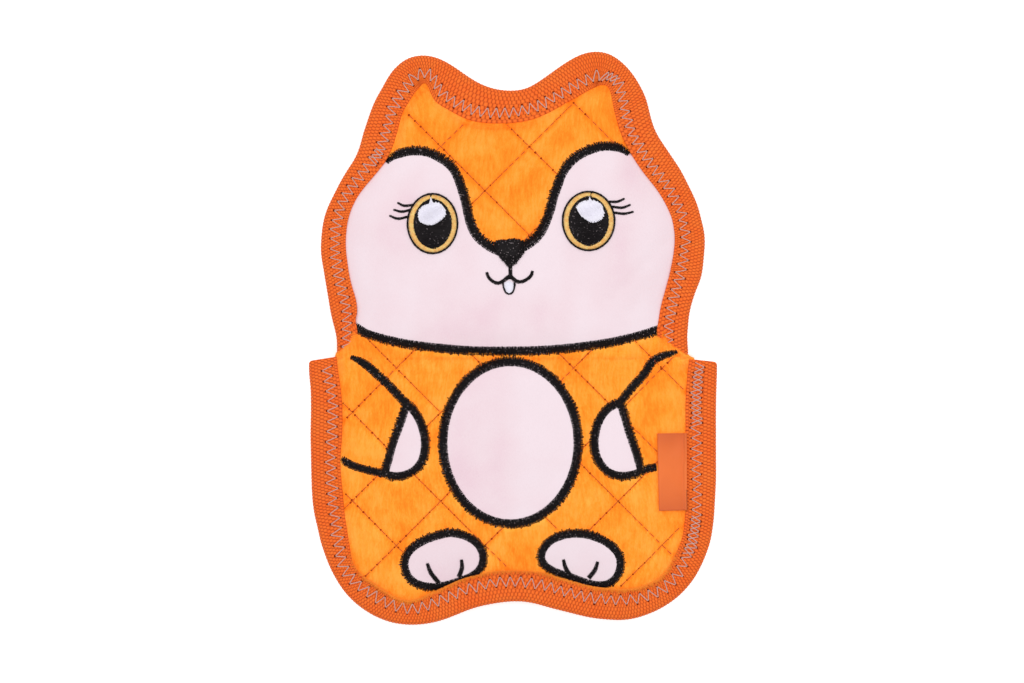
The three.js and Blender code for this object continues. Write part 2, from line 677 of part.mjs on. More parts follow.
addTurned("squeaker_bulb", bulbProfile, bulbSideCount, "vinyl");
addTurned("squeaker_reed", reedProfile, reedSideCount, "white");

// Label: a woven tab sewn along its right edge on the webbing, resting on the plush

const labelEdge = bodyWidth / 2 - webFace;
const labelHinge = panelEdge + seat + webThickness + seat + labelThickness / 2;
const labelTip = body.top(labelEdge - labelWidth, -labelFromFold) + seat + labelThickness / 2;
const labelTilt = Math.atan2(labelTip - labelHinge, labelWidth);
const label = addMesh("label", new THREE.BoxGeometry(labelWidth, labelLength, labelThickness), "label");
label.rotation.y = labelTilt;
label.position.set(
  labelEdge - (labelWidth / 2) * Math.cos(labelTilt), -labelFromFold,
  labelHinge + (labelWidth / 2) * Math.sin(labelTilt));

export default toy;
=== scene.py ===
import math

import bpy
import numpy as np
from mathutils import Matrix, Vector


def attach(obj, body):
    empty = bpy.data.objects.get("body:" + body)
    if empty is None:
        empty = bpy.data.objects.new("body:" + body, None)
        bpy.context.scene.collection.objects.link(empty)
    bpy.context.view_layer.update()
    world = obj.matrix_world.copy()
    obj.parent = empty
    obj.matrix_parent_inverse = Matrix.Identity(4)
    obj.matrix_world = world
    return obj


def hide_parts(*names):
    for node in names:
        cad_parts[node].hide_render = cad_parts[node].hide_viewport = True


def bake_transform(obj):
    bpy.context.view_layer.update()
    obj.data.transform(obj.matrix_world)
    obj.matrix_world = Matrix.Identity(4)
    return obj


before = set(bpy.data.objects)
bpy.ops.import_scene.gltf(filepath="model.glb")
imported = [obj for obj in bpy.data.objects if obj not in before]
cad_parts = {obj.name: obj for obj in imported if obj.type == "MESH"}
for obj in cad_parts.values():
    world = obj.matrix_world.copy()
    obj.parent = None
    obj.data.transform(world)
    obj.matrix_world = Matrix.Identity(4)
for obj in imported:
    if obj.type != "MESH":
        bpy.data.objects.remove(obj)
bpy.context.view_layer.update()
mm = 0.001
scene = bpy.context.scene

# The photograph's frame, and the toy's own planes
photo = {"pixel": 0.434 * mm, "middleX": 512.5, "middleY": 337.75, "width": 1024, "height": 683}
toy = {"middle": 8 * mm, "fold": -7.8 * mm, "bend": 15 * mm}


def fromPhoto(points):
    places = np.array(points, float)
    return np.column_stack([
        (places[:, 0] - photo["middleX"]) * photo["pixel"],
        (photo["middleY"] - places[:, 1]) * photo["pixel"],
    ])


# Camera, straight above
view = {"lens": 100, "sensor": 36, "aimHeight": 13 * mm}


def makeCamera():
    lens = bpy.data.cameras.new("camera")
    lens.lens = view["lens"]
    lens.sensor_width = view["sensor"]
    camera = bpy.data.objects.new("camera", lens)
    scene.collection.objects.link(camera)
    away = photo["width"] * photo["pixel"] * view["lens"] / view["sensor"]
    x, y = fromPhoto([(photo["width"] / 2, photo["height"] / 2)])[0]
    camera.location = (x, y, away + view["aimHeight"])
    scene.camera = camera


makeCamera()
print("camera placed")

# Outlines and seams, in the photograph's pixels: head from its left end over the ears to the right one,
# body from its left end down and round to the right one

headOutline = [
    (336, 356), (336, 350), (336, 338), (333, 326), (330, 314), (328, 302), (326, 290), (324, 278),
    (322, 266), (320, 254), (320, 242), (321, 230), (323, 218), (327, 206), (333, 194), (339, 182),
    (346, 170), (354, 158), (359, 146), (362, 134), (366, 122), (370, 110), (375, 98), (382, 86), (388, 75),
    (395, 66), (406, 57.5), (418, 54), (430, 54.5), (442, 58.5), (454, 65.5), (466, 74), (478, 81.5),
    (490, 86.5), (502, 89), (514, 89.5), (526, 87.5), (538, 81), (550, 72.5), (562, 64), (574, 56.5),
    (586, 51.5), (598, 50), (610, 52.5), (622, 60.5), (632, 71), (641, 85), (647, 98), (650, 110),
    (653, 122), (658, 134), (666, 146), (674, 158), (682, 170), (688, 182), (694, 194), (699, 206),
    (702, 218), (705, 230), (706, 242), (705, 254), (704, 266), (702, 278), (697, 290), (693, 302),
    (690, 314), (689, 326), (688, 338), (689, 350), (689, 356),
]
bodyOutline = [
    (308, 361), (308, 374), (309.5, 386), (310, 410), (309.5, 434), (310, 458), (310.5, 482), (311, 494),
    (312, 506), (314, 518), (317, 530), (319.5, 542), (323.5, 554), (328, 566), (334, 578), (341.5, 590),
    (352, 602), (368, 614), (381, 620.5), (394, 624.5), (406, 626), (418, 626), (430, 624.5), (442, 621.5),
    (454, 617), (466, 612), (478, 608), (490, 605.5), (502, 603.5), (514, 602.5), (526, 603), (538, 605.5),
    (550, 609), (562, 612), (574, 615), (586, 618), (598, 620), (610, 621), (622, 621.5), (634, 620),
    (646, 616.5), (658, 611.5), (670, 604.5), (682, 595), (694, 581), (702, 567), (707.5, 554),
    (711.5, 542), (713.5, 530), (715, 518), (716, 500), (717, 482), (717, 458), (717, 434), (717, 410),
    (717.5, 386), (718, 374), (718, 362),
]
headSeam = [
    (357, 330), (356.5, 322), (357, 315), (356, 300), (352, 288), (349, 275), (347, 262), (345.5, 245),
    (346, 231), (348.5, 217), (354, 202), (361, 191), (370, 180), (378, 170), (385, 162), (391, 150),
    (395.5, 137), (399, 124), (402, 113), (407, 104), (415, 92), (425, 82), (430, 91), (434, 100),
    (440, 105), (450, 110), (460, 116), (470, 120), (480, 122), (500, 123), (515, 122), (527, 120.5),
    (540, 116), (555, 109), (565, 103), (575, 98), (585, 92), (595, 87), (607, 84), (611, 93), (612.5, 101),
    (614.5, 111), (617, 120), (620, 130), (624, 140), (630, 151), (637, 163), (645, 174), (653, 184),
    (661, 195), (668, 208), (673, 221), (675, 237), (674, 253), (671, 268), (668, 282), (664.5, 294),
    (661, 307), (659, 320), (658, 330),
]
rightShoulder = [(662, 337), (668, 342), (675, 346), (681, 350), (685.5, 354.5)]
bodySeam = [
    (690, 362), (688, 372), (687, 385), (686, 400), (686, 440), (686, 480), (686, 510), (684, 530),
    (682, 540), (678, 550), (674, 558), (670, 567), (663, 576), (655, 582), (645, 586), (635, 589),
    (622, 590), (605, 589), (590, 587), (575, 583), (560, 579), (548, 575), (535, 572.5), (510, 571.5),
    (495, 572), (480, 575.5), (465, 579), (455, 583), (440, 590), (428, 595), (420, 599), (410, 601.5),
    (395, 598), (387, 593), (375, 585), (365, 578), (357, 571), (352, 562), (350, 550), (347.5, 535),
    (345, 520), (343, 500), (341, 480), (340, 460), (341.5, 440), (342, 425), (342, 410), (341, 395),
    (339, 380), (336, 362),
]
leftShoulder = [(337, 357), (340, 350), (346, 345), (352, 338), (355, 334)]
shoulderMiddles = [(346, 351), (676, 352)]
bodyTapeTop = {"low": 360, "high": 353, "inside": 4.5 * mm}

# Paths and shapes in the plane
steps = {"curve": 24, "line": 1 * mm, "edge": 1.5 * mm, "pixels": 1.0}  # curve: how many in each span


def smoothPath(points, step, closed=False):
    # A centripetal curve through the points, in equal steps
    points = np.asarray(points, float)
    if closed:
        points = np.vstack([points[-1], points, points[:2]])
    else:
        points = np.vstack([2 * points[0] - points[1], points, 2 * points[-1] - points[-2]])
    gaps = np.sqrt(np.linalg.norm(np.diff(points, axis=0), axis=1))
    share = np.linspace(0, 1, steps["curve"], endpoint=False)[:, None]
    pieces = []
    for at in range(1, len(points) - 2):
        before, here, there, after = points[at - 1:at + 3]
        first, second, third = gaps[at - 1:at + 2]
        leave = second * ((here - before) / first - (there - before) / (first + second)) + (there - here)
        arrive = second * ((after - there) / third - (after - here) / (second + third)) + (there - here)
        pieces.append(
            (2 * share**3 - 3 * share**2 + 1) * here + (share**3 - 2 * share**2 + share) * leave
            + (3 * share**2 - 2 * share**3) * there + (share**3 - share**2) * arrive)
    line = np.vstack([*pieces, points[-2:-1]])
    return evenPath(line, step, closed)


def alongLine(line):
    # How far along a line each of its points is
    return np.concatenate([[0], np.cumsum(np.linalg.norm(np.diff(line, axis=0), axis=1))])


def evenPath(line, step, closed=False):
    along = alongLine(line)
    count = max(3, round(along[-1] / step))
    places = np.linspace(0, along[-1], count + 1)
    even = np.column_stack([np.interp(places, along, line[:, axis]) for axis in range(line.shape[1])])
    return even[:-1] if closed else even


def sideways(line, closed=False):
    # The unit vectors to the left of a line
    if closed:
        forward = np.roll(line, -1, axis=0) - np.roll(line, 1, axis=0)
    else:
        forward = np.gradient(line, axis=0)
    forward /= np.linalg.norm(forward, axis=1)[:, None]
    return np.column_stack([-forward[:, 1], forward[:, 0]])


def bell(width, reach=None):
    # The weights of a running average, which add up to 1
    reach = reach or int(3 * width)
    weights = np.exp(-0.5 * (np.arange(-reach, reach + 1) / width) ** 2)
    return weights / weights.sum()


def softened(values, width):
    # A running average along a path, whose ends stay
    weights = bell(width)
    reach = len(weights) // 2
    columns = values.reshape(len(values), -1)
    start = 2 * columns[0] - columns[reach:0:-1]
    end = 2 * columns[-1] - columns[-2:-reach - 2:-1]
    longer = np.vstack([start, columns, end])
    soft = np.column_stack([np.convolve(longer[:, at], weights, "valid") for at in range(columns.shape[1])])
    return soft.reshape(values.shape)


# Meshes


def placeMesh(name, mesh):
    piece = bpy.data.objects.new(name, mesh)
    scene.collection.objects.link(piece)
    return piece


def addPiece(name, places, faces=(), material=None, edges=()):
    mesh = bpy.data.meshes.new(name)
    places, edges, faces = [
        rows.tolist() if isinstance(rows, np.ndarray) else rows for rows in (places, edges, faces)]
    mesh.from_pydata(places, edges, faces)
    mesh.update()
    if material:
        mesh.materials.append(material)
        mesh.shade_smooth()
    return placeMesh(name, mesh)


def meshPlaces(mesh):
    places = np.empty(len(mesh.vertices) * 3)
    mesh.vertices.foreach_get("co", places)
    return places.reshape(-1, 3)


def turnOutward(mesh):
    # The signed volume tells which way the faces point
    mesh.calc_loop_triangles()
    corners = np.empty(len(mesh.loop_triangles) * 3, int)
    mesh.loop_triangles.foreach_get("vertices", corners)
    a, b, c = np.moveaxis(meshPlaces(mesh)[corners.reshape(-1, 3)], 1, 0)
    if float((a * np.cross(b, c)).sum()) < 0:
        mesh.flip_normals()


# Heights over the toy, on one grid
grid = {"step": 1.1 * mm, "left": -93 * mm, "low": -131 * mm, "columns": 170, "rows": 238, "inside": 1.001}
gridX, gridY = np.meshgrid(
    grid["left"] + grid["step"] * np.arange(grid["columns"]),
    grid["low"] + grid["step"] * np.arange(grid["rows"]))


def distanceTo(line, x, y, closed=False):
    line = np.asarray(line)
    ends = np.roll(line, -1, axis=0) if closed else line[1:]
    nearest = np.full(x.shape, 1.0)
    for (ax, ay), (bx, by) in zip(line, ends):
        run = (bx - ax) ** 2 + (by - ay) ** 2
        share = np.clip(((x - ax) * (bx - ax) + (y - ay) * (by - ay)) / run, 0, 1)
        away = (x - ax - share * (bx - ax)) ** 2 + (y - ay - share * (by - ay)) ** 2
        nearest = np.minimum(nearest, away)
    return np.sqrt(nearest)


def insideDistance(ring, x, y):
    # Distance to a closed line: above nothing inside it, below nothing outside
    inside = np.zeros(x.shape, bool)
    for (ax, ay), (bx, by) in zip(ring, np.roll(ring, -1, axis=0)):
        if ay != by:
            inside ^= ((ay > y) != (by > y)) & (x < ax + (y - ay) / (by - ay) * (bx - ax))
    return distanceTo(ring, x, y, True) * np.where(inside, 1, -1)


def sample(field, x, y):
    # A field's values between the grid's points
    column = np.clip((x - grid["left"]) / grid["step"], 0, grid["columns"] - grid["inside"])
    row = np.clip((y - grid["low"]) / grid["step"], 0, grid["rows"] - grid["inside"])
    c, r = column.astype(int), row.astype(int)
    right, up = column - c, row - r
    return ((field[r, c] * (1 - right) + field[r, c + 1] * right) * (1 - up)
            + (field[r + 1, c] * (1 - right) + field[r + 1, c + 1] * right) * up)


def blurred(field, width):
    weights = bell(width)
    reach = len(weights) // 2
    for axis in (0, 1):
        padded = np.pad(field, [(reach, reach) if at == axis else (0, 0) for at in (0, 1)], "edge")
        numbers = np.arange(field.shape[axis])
        field = sum(weight * np.take(padded, numbers + at, axis) for at, weight in enumerate(weights))
    return field


def gridQuads(numbers):
    # The four corners of each square between numbered grid points
    return np.stack([numbers[:-1, :-1], numbers[:-1, 1:], numbers[1:, 1:], numbers[1:, :-1]], axis=-1)


def ringQuads(count, sides):
    # The quads between the rings of points along a closed section
    here = np.arange(count - 1)[:, None] * sides + np.arange(sides)
    there = np.arange(count - 1)[:, None] * sides + (np.arange(sides) + 1) % sides
    return np.stack([here, there, there + sides, here + sides], axis=-1).reshape(-1, 4)


def step01(values):
    share = np.clip(values, 0, 1)
    return share * share * (3 - 2 * share)


# Lines and rings of the face, belly and limbs, in the photograph's pixels
leftBrow = [
    (386, 161), (392, 156), (400, 153), (410, 151), (420, 151), (430, 153), (440, 158), (450, 165),
    (456, 173), (460, 183), (464, 195), (467, 207), (469, 217), (472.5, 228), (478, 237), (486, 244),
    (494, 249), (500, 251.5),
]
rightBrow = [
    (629, 153), (624, 149), (615, 146.5), (605, 146), (595, 148), (585, 152), (575, 158), (567, 166),
    (561, 176), (557, 187), (553, 198), (550, 210), (546, 221), (542, 230), (536, 238), (529, 243.5),
    (523, 247),
]
neckline = [
    (355, 327), (365, 333), (375, 336.5), (390, 340.5), (410, 344.5), (430, 347), (450, 349), (470, 350.5),
    (500, 351), (530, 350.7), (550, 349.7), (570, 348), (590, 345.5), (610, 342.5), (630, 338), (645, 334),
    (660, 329),
]
belly = {"middle": (510.5, 442.5), "half": (67.5, 81), "patchPoints": 72}
leftPaw = [
    (407, 404), (416, 413), (422, 425), (425.5, 441), (424, 456), (419, 466), (410, 473), (398, 476),
    (386, 473.5), (389, 458), (393, 443), (399, 427), (404, 413),
]
rightPaw = [
    (619, 403), (611, 406), (604, 412), (598.5, 421), (595, 432), (594, 444), (596, 456), (601, 465),
    (609, 472.5), (619, 475.5), (630, 475), (640, 471), (638, 459), (634, 446), (629, 431), (624.5, 416),
]
leftFoot = [
    (404.5, 566), (407, 554), (413, 547), (423, 540.5), (436, 535.5), (450, 532.5), (464, 535), (475, 541),
    (481.5, 549), (483.5, 558), (481, 568), (473, 576), (460, 581.5), (447, 585.5), (434, 587.5),
    (421, 585.5), (410, 579),
]
rightFoot = [
    (541, 559), (543, 549), (549, 541.5), (558, 536.5), (570, 533.5), (583, 533.5), (595, 536.5),
    (606, 541.5), (614, 548), (619.5, 556), (620.5, 566), (617, 577), (608, 584.5), (596, 585.5),
    (584, 582.5), (571, 577.5), (557, 573), (546, 567),
]


def ellipse(middle, half, count=60):
    angles = np.linspace(0, 2 * math.pi, count, endpoint=False)
    return np.column_stack([middle[0] + half[0] * np.cos(angles), middle[1] + half[1] * np.sin(angles)])


# The face's own ring goes under the webbing at its sides and under the nose between the brows
faceSides = {
    "left": [(300, 322), (300, 168)], "nose": [(505, 256), (517, 256)], "right": [(720, 158), (720, 322)],
}
patchRings = {
    "facePatch": fromPhoto([
        faceSides["left"][1], *leftBrow, *faceSides["nose"], *rightBrow[::-1], *faceSides["right"],
        *neckline[::-1], faceSides["left"][0]]),
    "bellyPatch": fromPhoto(ellipse(belly["middle"], belly["half"], belly["patchPoints"])),
}
for limb, left, right in (("paw", leftPaw, rightPaw), ("foot", leftFoot, rightFoot)):
    for side, ring in (("Left", left), ("Right", right)):
        patchRings[f"{limb}Patch{side}"] = smoothPath(fromPhoto(ring), steps["line"], True)
plushEdge = smoothPath(
    fromPhoto([*headSeam, *rightShoulder, *bodySeam[:-1], *leftShoulder]), steps["edge"], True)

pad = {
    "edge": 1.9 * mm, "rise": 6.3 * mm, "reach": 32 * mm, "hem": 2.6 * mm, "hemSlope": 0.3,
    "foldDip": 2.8 * mm, "foldReach": 8 * mm, "uneven": 0.12 * mm, "restHeight": 7.9 * mm, "restSoft": 0.6,
    "shoulderHeight": 4.5 * mm, "shoulderReach": 7.5 * mm, "shoulderFull": 1.6, "shoulderRound": 1.8 * mm,
    "shoulderEdge": 2.5 * mm, "patchReach": 1 * mm, "patchBlend": 3 * mm,
}
quilt = {
    "pitch": 27.2 * mm, "alongShare": 0.55, "acrossShare": 0.17, "depth": 2.1 * mm, "underPatchShare": 0.22,
    "fullness": 0.45,
}

edgeDistance = insideDistance(plushEdge, gridX, gridY)
shoulder = np.zeros(gridX.shape)
for x, y in fromPhoto(shoulderMiddles):
    away = np.hypot(gridX - x, gridY - y) / pad["shoulderReach"]
    shoulder = np.maximum(shoulder, step01(pad["shoulderFull"] - away))
domain = edgeDistance + pad["hem"] * (1 - shoulder)
tapeLow, tapeHigh = fromPhoto([(0, bodyTapeTop["low"]), (0, bodyTapeTop["high"])])[:, 1]
shoulder *= np.maximum(
    step01((gridY - tapeLow) / (tapeHigh - tapeLow)), step01(edgeDistance / bodyTapeTop["inside"]))
patchDistance = {
    name: np.minimum(insideDistance(ring, gridX, gridY), edgeDistance + pad["hem"])
    for name, ring in patchRings.items()
}
overPatch = sum(np.maximum(away, -pad["patchReach"]) + pad["patchReach"] for away in patchDistance.values())
nearPatch = np.max(list(patchDistance.values()), axis=0) > -pad["patchReach"]
patched = np.where(nearPatch, step01(0.5 + overPatch / pad["patchBlend"]), 0)


def quiltPlaces(x, y):
    # Whole numbers on the stitched lines
    diagonal = quilt["pitch"] * math.sqrt(2)
    upward = y - toy["fold"]
    return (x + upward) / diagonal - quilt["alongShare"], (upward - x) / diagonal - quilt["acrossShare"]


def quiltLineAway(along, across):
    # The distance to the nearest stitched line
    return quilt["pitch"] * np.minimum(np.abs(along - np.round(along)), np.abs(across - np.round(across)))


alongPlaces, acrossPlaces = quiltPlaces(gridX, gridY)
swell = 1 - (1 - np.clip(edgeDistance / pad["reach"], 0, 1)) ** 2
fromFold = np.abs(gridY - toy["fold"])
thick = pad["edge"] + pad["rise"] * swell + pad["hemSlope"] * np.minimum(edgeDistance, 0)
thick -= pad["foldDip"] * np.exp(-(fromFold / pad["foldReach"]) ** 2) * np.sqrt(swell)
waves = [(61, 37, 0.4), (43, -71, 1.9), (127, 0, 2.6), (23, 109, 0.7)]
uneven = sum(np.sin(gridX * right + gridY * up + start) for right, up, start in waves)
thick += pad["uneven"] * uneven * np.sqrt(swell)

# Soft creases of the face: pixel ends, depth and half width
creases = [
    ((352, 318), (398, 232), 0.35 * mm, 2.6 * mm), ((372, 322), (430, 262), 0.25 * mm, 2.2 * mm),
    ((668, 240), (610, 300), 0.3 * mm, 2.6 * mm), ((548, 268), (560, 322), 0.18 * mm, 2.4 * mm),
    ((470, 258), (452, 318), 0.18 * mm, 2.4 * mm),
]
for start, end, depth, half in creases:
    away = distanceTo(fromPhoto([start, end]), gridX, gridY)
    thick -= depth * np.exp(-(away / half) ** 2)


blow = {
    "stride": 2, "scale": 20, "frames": 20, "pressure": 5.0, "mass": 0.05, "stiff": 8, "shear": 4,
    "bending": 0.4, "quality": 6, "heldWidth": 1.5 * mm, "heldEdge": 3 * mm, "start": 0.75,
    "most": 3 * mm, "soft": 0.7,
}


def quiltBlown():
    # Cloth held on the stitched lines and round the edge, blown up from inside, gives the same measure
    stride = blow["stride"]
    coarse = (slice(None, None, stride), slice(None, None, stride))
    inside = domain[coarse] > 0
    held = np.exp(-(quiltLineAway(alongPlaces, acrossPlaces)[coarse] / blow["heldWidth"]) ** 4)
    held = np.maximum(held, step01(1 - edgeDistance[coarse] / blow["heldEdge"]))
    level = -quilt["depth"] * (blow["start"] + (1 - blow["start"]) * held) * np.sqrt(swell[coarse])
    numbers = np.full(inside.shape, -1)
    numbers[inside] = np.arange(inside.sum())
    quads = gridQuads(numbers).reshape(-1, 4)
    quads = quads[(quads >= 0).all(axis=1)]
    places = np.column_stack([gridX[coarse][inside], gridY[coarse][inside], (level + thick[coarse])[inside]])
    places *= blow["scale"]
    cloth = addPiece("blown", places, quads)
    group = cloth.vertex_groups.new(name="held")
    for at, weight in enumerate(held[inside]):
        group.add([at], float(weight), "REPLACE")
    modifier = cloth.modifiers.new("cloth", "CLOTH")
    settings = {
        "quality": blow["quality"], "mass": blow["mass"], "tension_stiffness": blow["stiff"],
        "compression_stiffness": blow["stiff"], "shear_stiffness": blow["shear"],
        "bending_stiffness": blow["bending"], "use_pressure": True,
        "uniform_pressure_force": blow["pressure"], "vertex_group_mass": "held",
    }
    for label, value in settings.items():
        setattr(modifier.settings, label, value)
    modifier.settings.effector_weights.gravity = 0
    modifier.collision_settings.use_collision = False
    for number in range(1, blow["frames"] + 1):
        scene.frame_set(number)
    evaluated = cloth.evaluated_get(bpy.context.evaluated_depsgraph_get())
    heights = meshPlaces(evaluated.data)[:, 2] / blow["scale"]
    scene.frame_set(1)
    bpy.data.objects.remove(cloth)
    moved = np.zeros(inside.shape)
    moved[inside] = np.clip(heights - thick[coarse][inside], -quilt["depth"], blow["most"])
    rows = np.arange(grid["rows"]) / stride
    columns = np.arange(grid["columns"]) / stride
    wide = np.stack([np.interp(columns, np.arange(moved.shape[1]), line) for line in moved])
    tall = np.stack([np.interp(rows, np.arange(moved.shape[0]), line) for line in wide.T]).T
    print("cloth rose by", round(float((heights - places[:, 2] / blow["scale"]).max() / mm), 2), "mm")
    return -blurred(tall, blow["soft"]) / quilt["depth"]


pull = quiltBlown()
print("quilting filled")
pulledFront = pull * (1 - patched * (1 - quilt["underPatchShare"]))


def padHeight(pulled):
    height = thick - quilt["depth"] * pulled
    height += shoulder * np.maximum(0, pad["shoulderHeight"] - height)
    return height - shoulder * pad["shoulderRound"] * (1 - np.clip(domain / pad["shoulderEdge"], 0, 1)) ** 2


frontHeight = padHeight(pulledFront)
overRest = np.maximum(0, pad["restHeight"] - padHeight(pull))
backHeight = pad["restHeight"] - blurred(overRest, pad["restSoft"])

# Nodes: sums on sockets are written as sums, and one method adds any other node


class Value:
    def __init__(self, nodes, socket):
        self.nodes = nodes
        self.socket = socket

    def join(self, operation, first, second=0.0):
        return self.nodes.add("ShaderNodeMath", {"operation": operation}, {0: first, 1: second})

    def __add__(self, other):
        return self.join("ADD", self, other)

    def __radd__(self, other):
        return self.join("ADD", other, self)

    def __sub__(self, other):
        return self.join("SUBTRACT", self, other)

    def __rsub__(self, other):
        return self.join("SUBTRACT", other, self)

    def __mul__(self, other):
        return self.join("MULTIPLY", self, other)

    def __rmul__(self, other):
        return self.join("MULTIPLY", other, self)

    def __truediv__(self, other):
        return self.join("DIVIDE", self, other)

    def __pow__(self, other):
        return self.join("POWER", self, other)

    def sin(self):
        return self.join("SINE", self)

    def cos(self):
        return self.join("COSINE", self)

    def floor(self):
        return self.join("FLOOR", self)

    def fract(self):
        return self.join("FRACT", self)


class Nodes:
    def __init__(self, tree):
        self.tree = tree

    def add(self, kind, settings=None, values=None, out=0):
        node = self.tree.nodes.new(kind)
        for name, setting in (settings or {}).items():
            if name == "stops":
                for at, (place, shade) in enumerate(setting):
                    stop = node.color_ramp.elements[at] if at < 2 else node.color_ramp.elements.new(place)
                    stop.position = place
                    stop.color = shade
            else:
                setattr(node, name, setting)
        for name, value in (values or {}).items():
            self.give(node.inputs[name], value)
        return Value(self, node.outputs[out])

    def give(self, socket, value):
        # A colour may be its code
        if isinstance(value, Value):
            self.tree.links.new(value.socket, socket)
        else:
            coded = socket.type == "RGBA" and isinstance(value, str)
            socket.default_value = colour(value) if coded else value

    def vector(self, x, y, z):
        return self.add("ShaderNodeCombineXYZ", None, {0: x, 1: y, 2: z})

    def split(self, vector):
        # The three numbers of a vector
        node = self.tree.nodes.new("ShaderNodeSeparateXYZ")
        self.give(node.inputs[0], vector)
        return [Value(self, socket) for socket in node.outputs]

    def vectorMaths(self, operation, first, second, out=0):
        return self.add("ShaderNodeVectorMath", {"operation": operation}, {0: first, 1: second}, out)

    def blendColours(self, factor, first, second):
        return self.add("ShaderNodeMix", {"data_type": "RGBA"}, {0: factor, 6: first, 7: second}, 2)


def colour(code):
    # From the eight-bit code that a colour picker shows
    parts = [int(code[at:at + 2], 16) / 255 for at in (0, 2, 4)]
    return (*[part / 12.92 if part <= 0.04045 else ((part + 0.055) / 1.055) ** 2.4 for part in parts], 1.0)


# Materials


def startMaterial(name, roughness, sheen=0.0, specular=0.3):
    material = bpy.data.materials.new(name)
    material.use_nodes = True
    inputs = material.node_tree.nodes["Principled BSDF"].inputs
    for label, value in {
        "Roughness": roughness, "Specular IOR Level": specular, "Sheen Weight": sheen, "Sheen Roughness": 0.4,
    }.items():
        inputs[label].default_value = value
    return material, Nodes(material.node_tree), inputs


def objectPlace(nodes):
    return nodes.add("ShaderNodeTexCoord", out="Object")


def noise(nodes, place, scale, detail):
    # A scale of three numbers stretches the pattern along the axes
    stretch, scale = (scale, 1.0) if isinstance(scale, tuple) else ((1, 1, 1), scale)
    stretched = nodes.vectorMaths("MULTIPLY", place, stretch)
    return nodes.add("ShaderNodeTexNoise", None, {"Vector": stretched, "Scale": scale, "Detail": detail})


def ramp(nodes, factor, *stops):
    # Stops are places and colour codes
    shades = [(place, colour(code)) for place, code in stops]
    return nodes.add("ShaderNodeValToRGB", {"stops": shades}, {0: factor})


def weighed(shares, *patterns):
    # Patterns times their shares, added up
    total = patterns[0] * shares[0]
    for share, pattern in zip(shares[1:], patterns[1:]):
        total = total + pattern * share
    return total


def paint(nodes, inputs, shade, height, bump):
    # bump is how high the height goes, and how strongly it shows
    distance, strength = bump
    nodes.give(inputs["Base Color"], shade)
    nodes.give(inputs["Normal"], nodes.add("ShaderNodeBump", None, {
        "Strength": strength, "Distance": distance, "Height": height}))


def plushMaterial(name, combed):
    finish = {
        "stops": ((0.36, "fb8820"), (0.62, "ffaf47"), (0.48, "ff9e2f")), "sheen": "ffb04a", "paintedGlow": 0.14,
        "swirl": 22.0, "swirlReach": 16 * mm, "mottle": (75.0, 3.0), "streaks": ((900, 170, 500), 2.0),
        "fine": ((3200, 900, 2600), 2.0), "shares": (0.5, 0.32, 0.18), "tint": 0.12,
        "bump": (0.5 * mm, 0.6),
    }
    material, nodes, inputs = startMaterial(name, roughness=0.9, sheen=0.1, specular=0.1)
    inputs["Sheen Tint"].default_value = colour(finish["sheen"])
    # Painted glow: the plush emits its own colour, standing in for light scattered among the fibres
    inputs["Emission Strength"].default_value = finish["paintedGlow"]
    place = objectPlace(nodes)
    swirl = nodes.add(
        "ShaderNodeTexNoise", None, {"Vector": place, "Scale": finish["swirl"], "Detail": 1.0}, "Color")
    reach = nodes.vectorMaths("MULTIPLY", swirl, (finish["swirlReach"],) * 3)
    bent = nodes.vectorMaths("ADD", place, reach)
    mottle = noise(nodes, bent, *finish["mottle"])
    streaks = noise(nodes, bent, *finish["streaks"])
    fine = noise(nodes, bent, *finish["fine"])
    mixed = weighed(finish["shares"], mottle, streaks, fine)
    if combed:
        # The strands' tone differs at random, and painted shade darkens them near the quilted lines
        tint = nodes.add("ShaderNodeAttribute", {"attribute_name": "tint"}, out="Fac")
        mixed = mixed + (tint - 0.5) * finish["tint"]
    shade = ramp(nodes, mixed, *finish["stops"])
    # The painted glow has the plush's own colour
    nodes.give(inputs["Emission Color"], shade)
    if combed:
        nodes.give(inputs["Base Color"], shade)
    else:
        paint(nodes, inputs, shade, streaks * 0.5 + fine * 0.5, finish["bump"])
    return material


def velboaMaterial():
    finish = {
        "stops": ((0.34, "e9ccd6"), (0.6, "efdde4"), (0.47, "edd7de")), "cloudy": (30.0, 3.0),
        "creaseShade": ((55, 20, 20), 1.0), "fine": ((2600, 1300, 2600), 2.0), "shares": (0.5, 0.35, 0.15),
        "bump": (0.18 * mm, 0.7),
    }
    material, nodes, inputs = startMaterial("velboaFabric", roughness=0.85, sheen=0.3, specular=0.15)
    place = objectPlace(nodes)
    cloudy = noise(nodes, place, *finish["cloudy"])
    # Painted crease shade: stretched streaks of lighter and darker pink; cloudy and fine are tone that
    # differs at random
    creaseShade = noise(nodes, place, *finish["creaseShade"])
    fine = noise(nodes, place, *finish["fine"])
    mixed = weighed(finish["shares"], cloudy, creaseShade, fine)
    paint(nodes, inputs, ramp(nodes, mixed, *finish["stops"]), fine, finish["bump"])
    return material


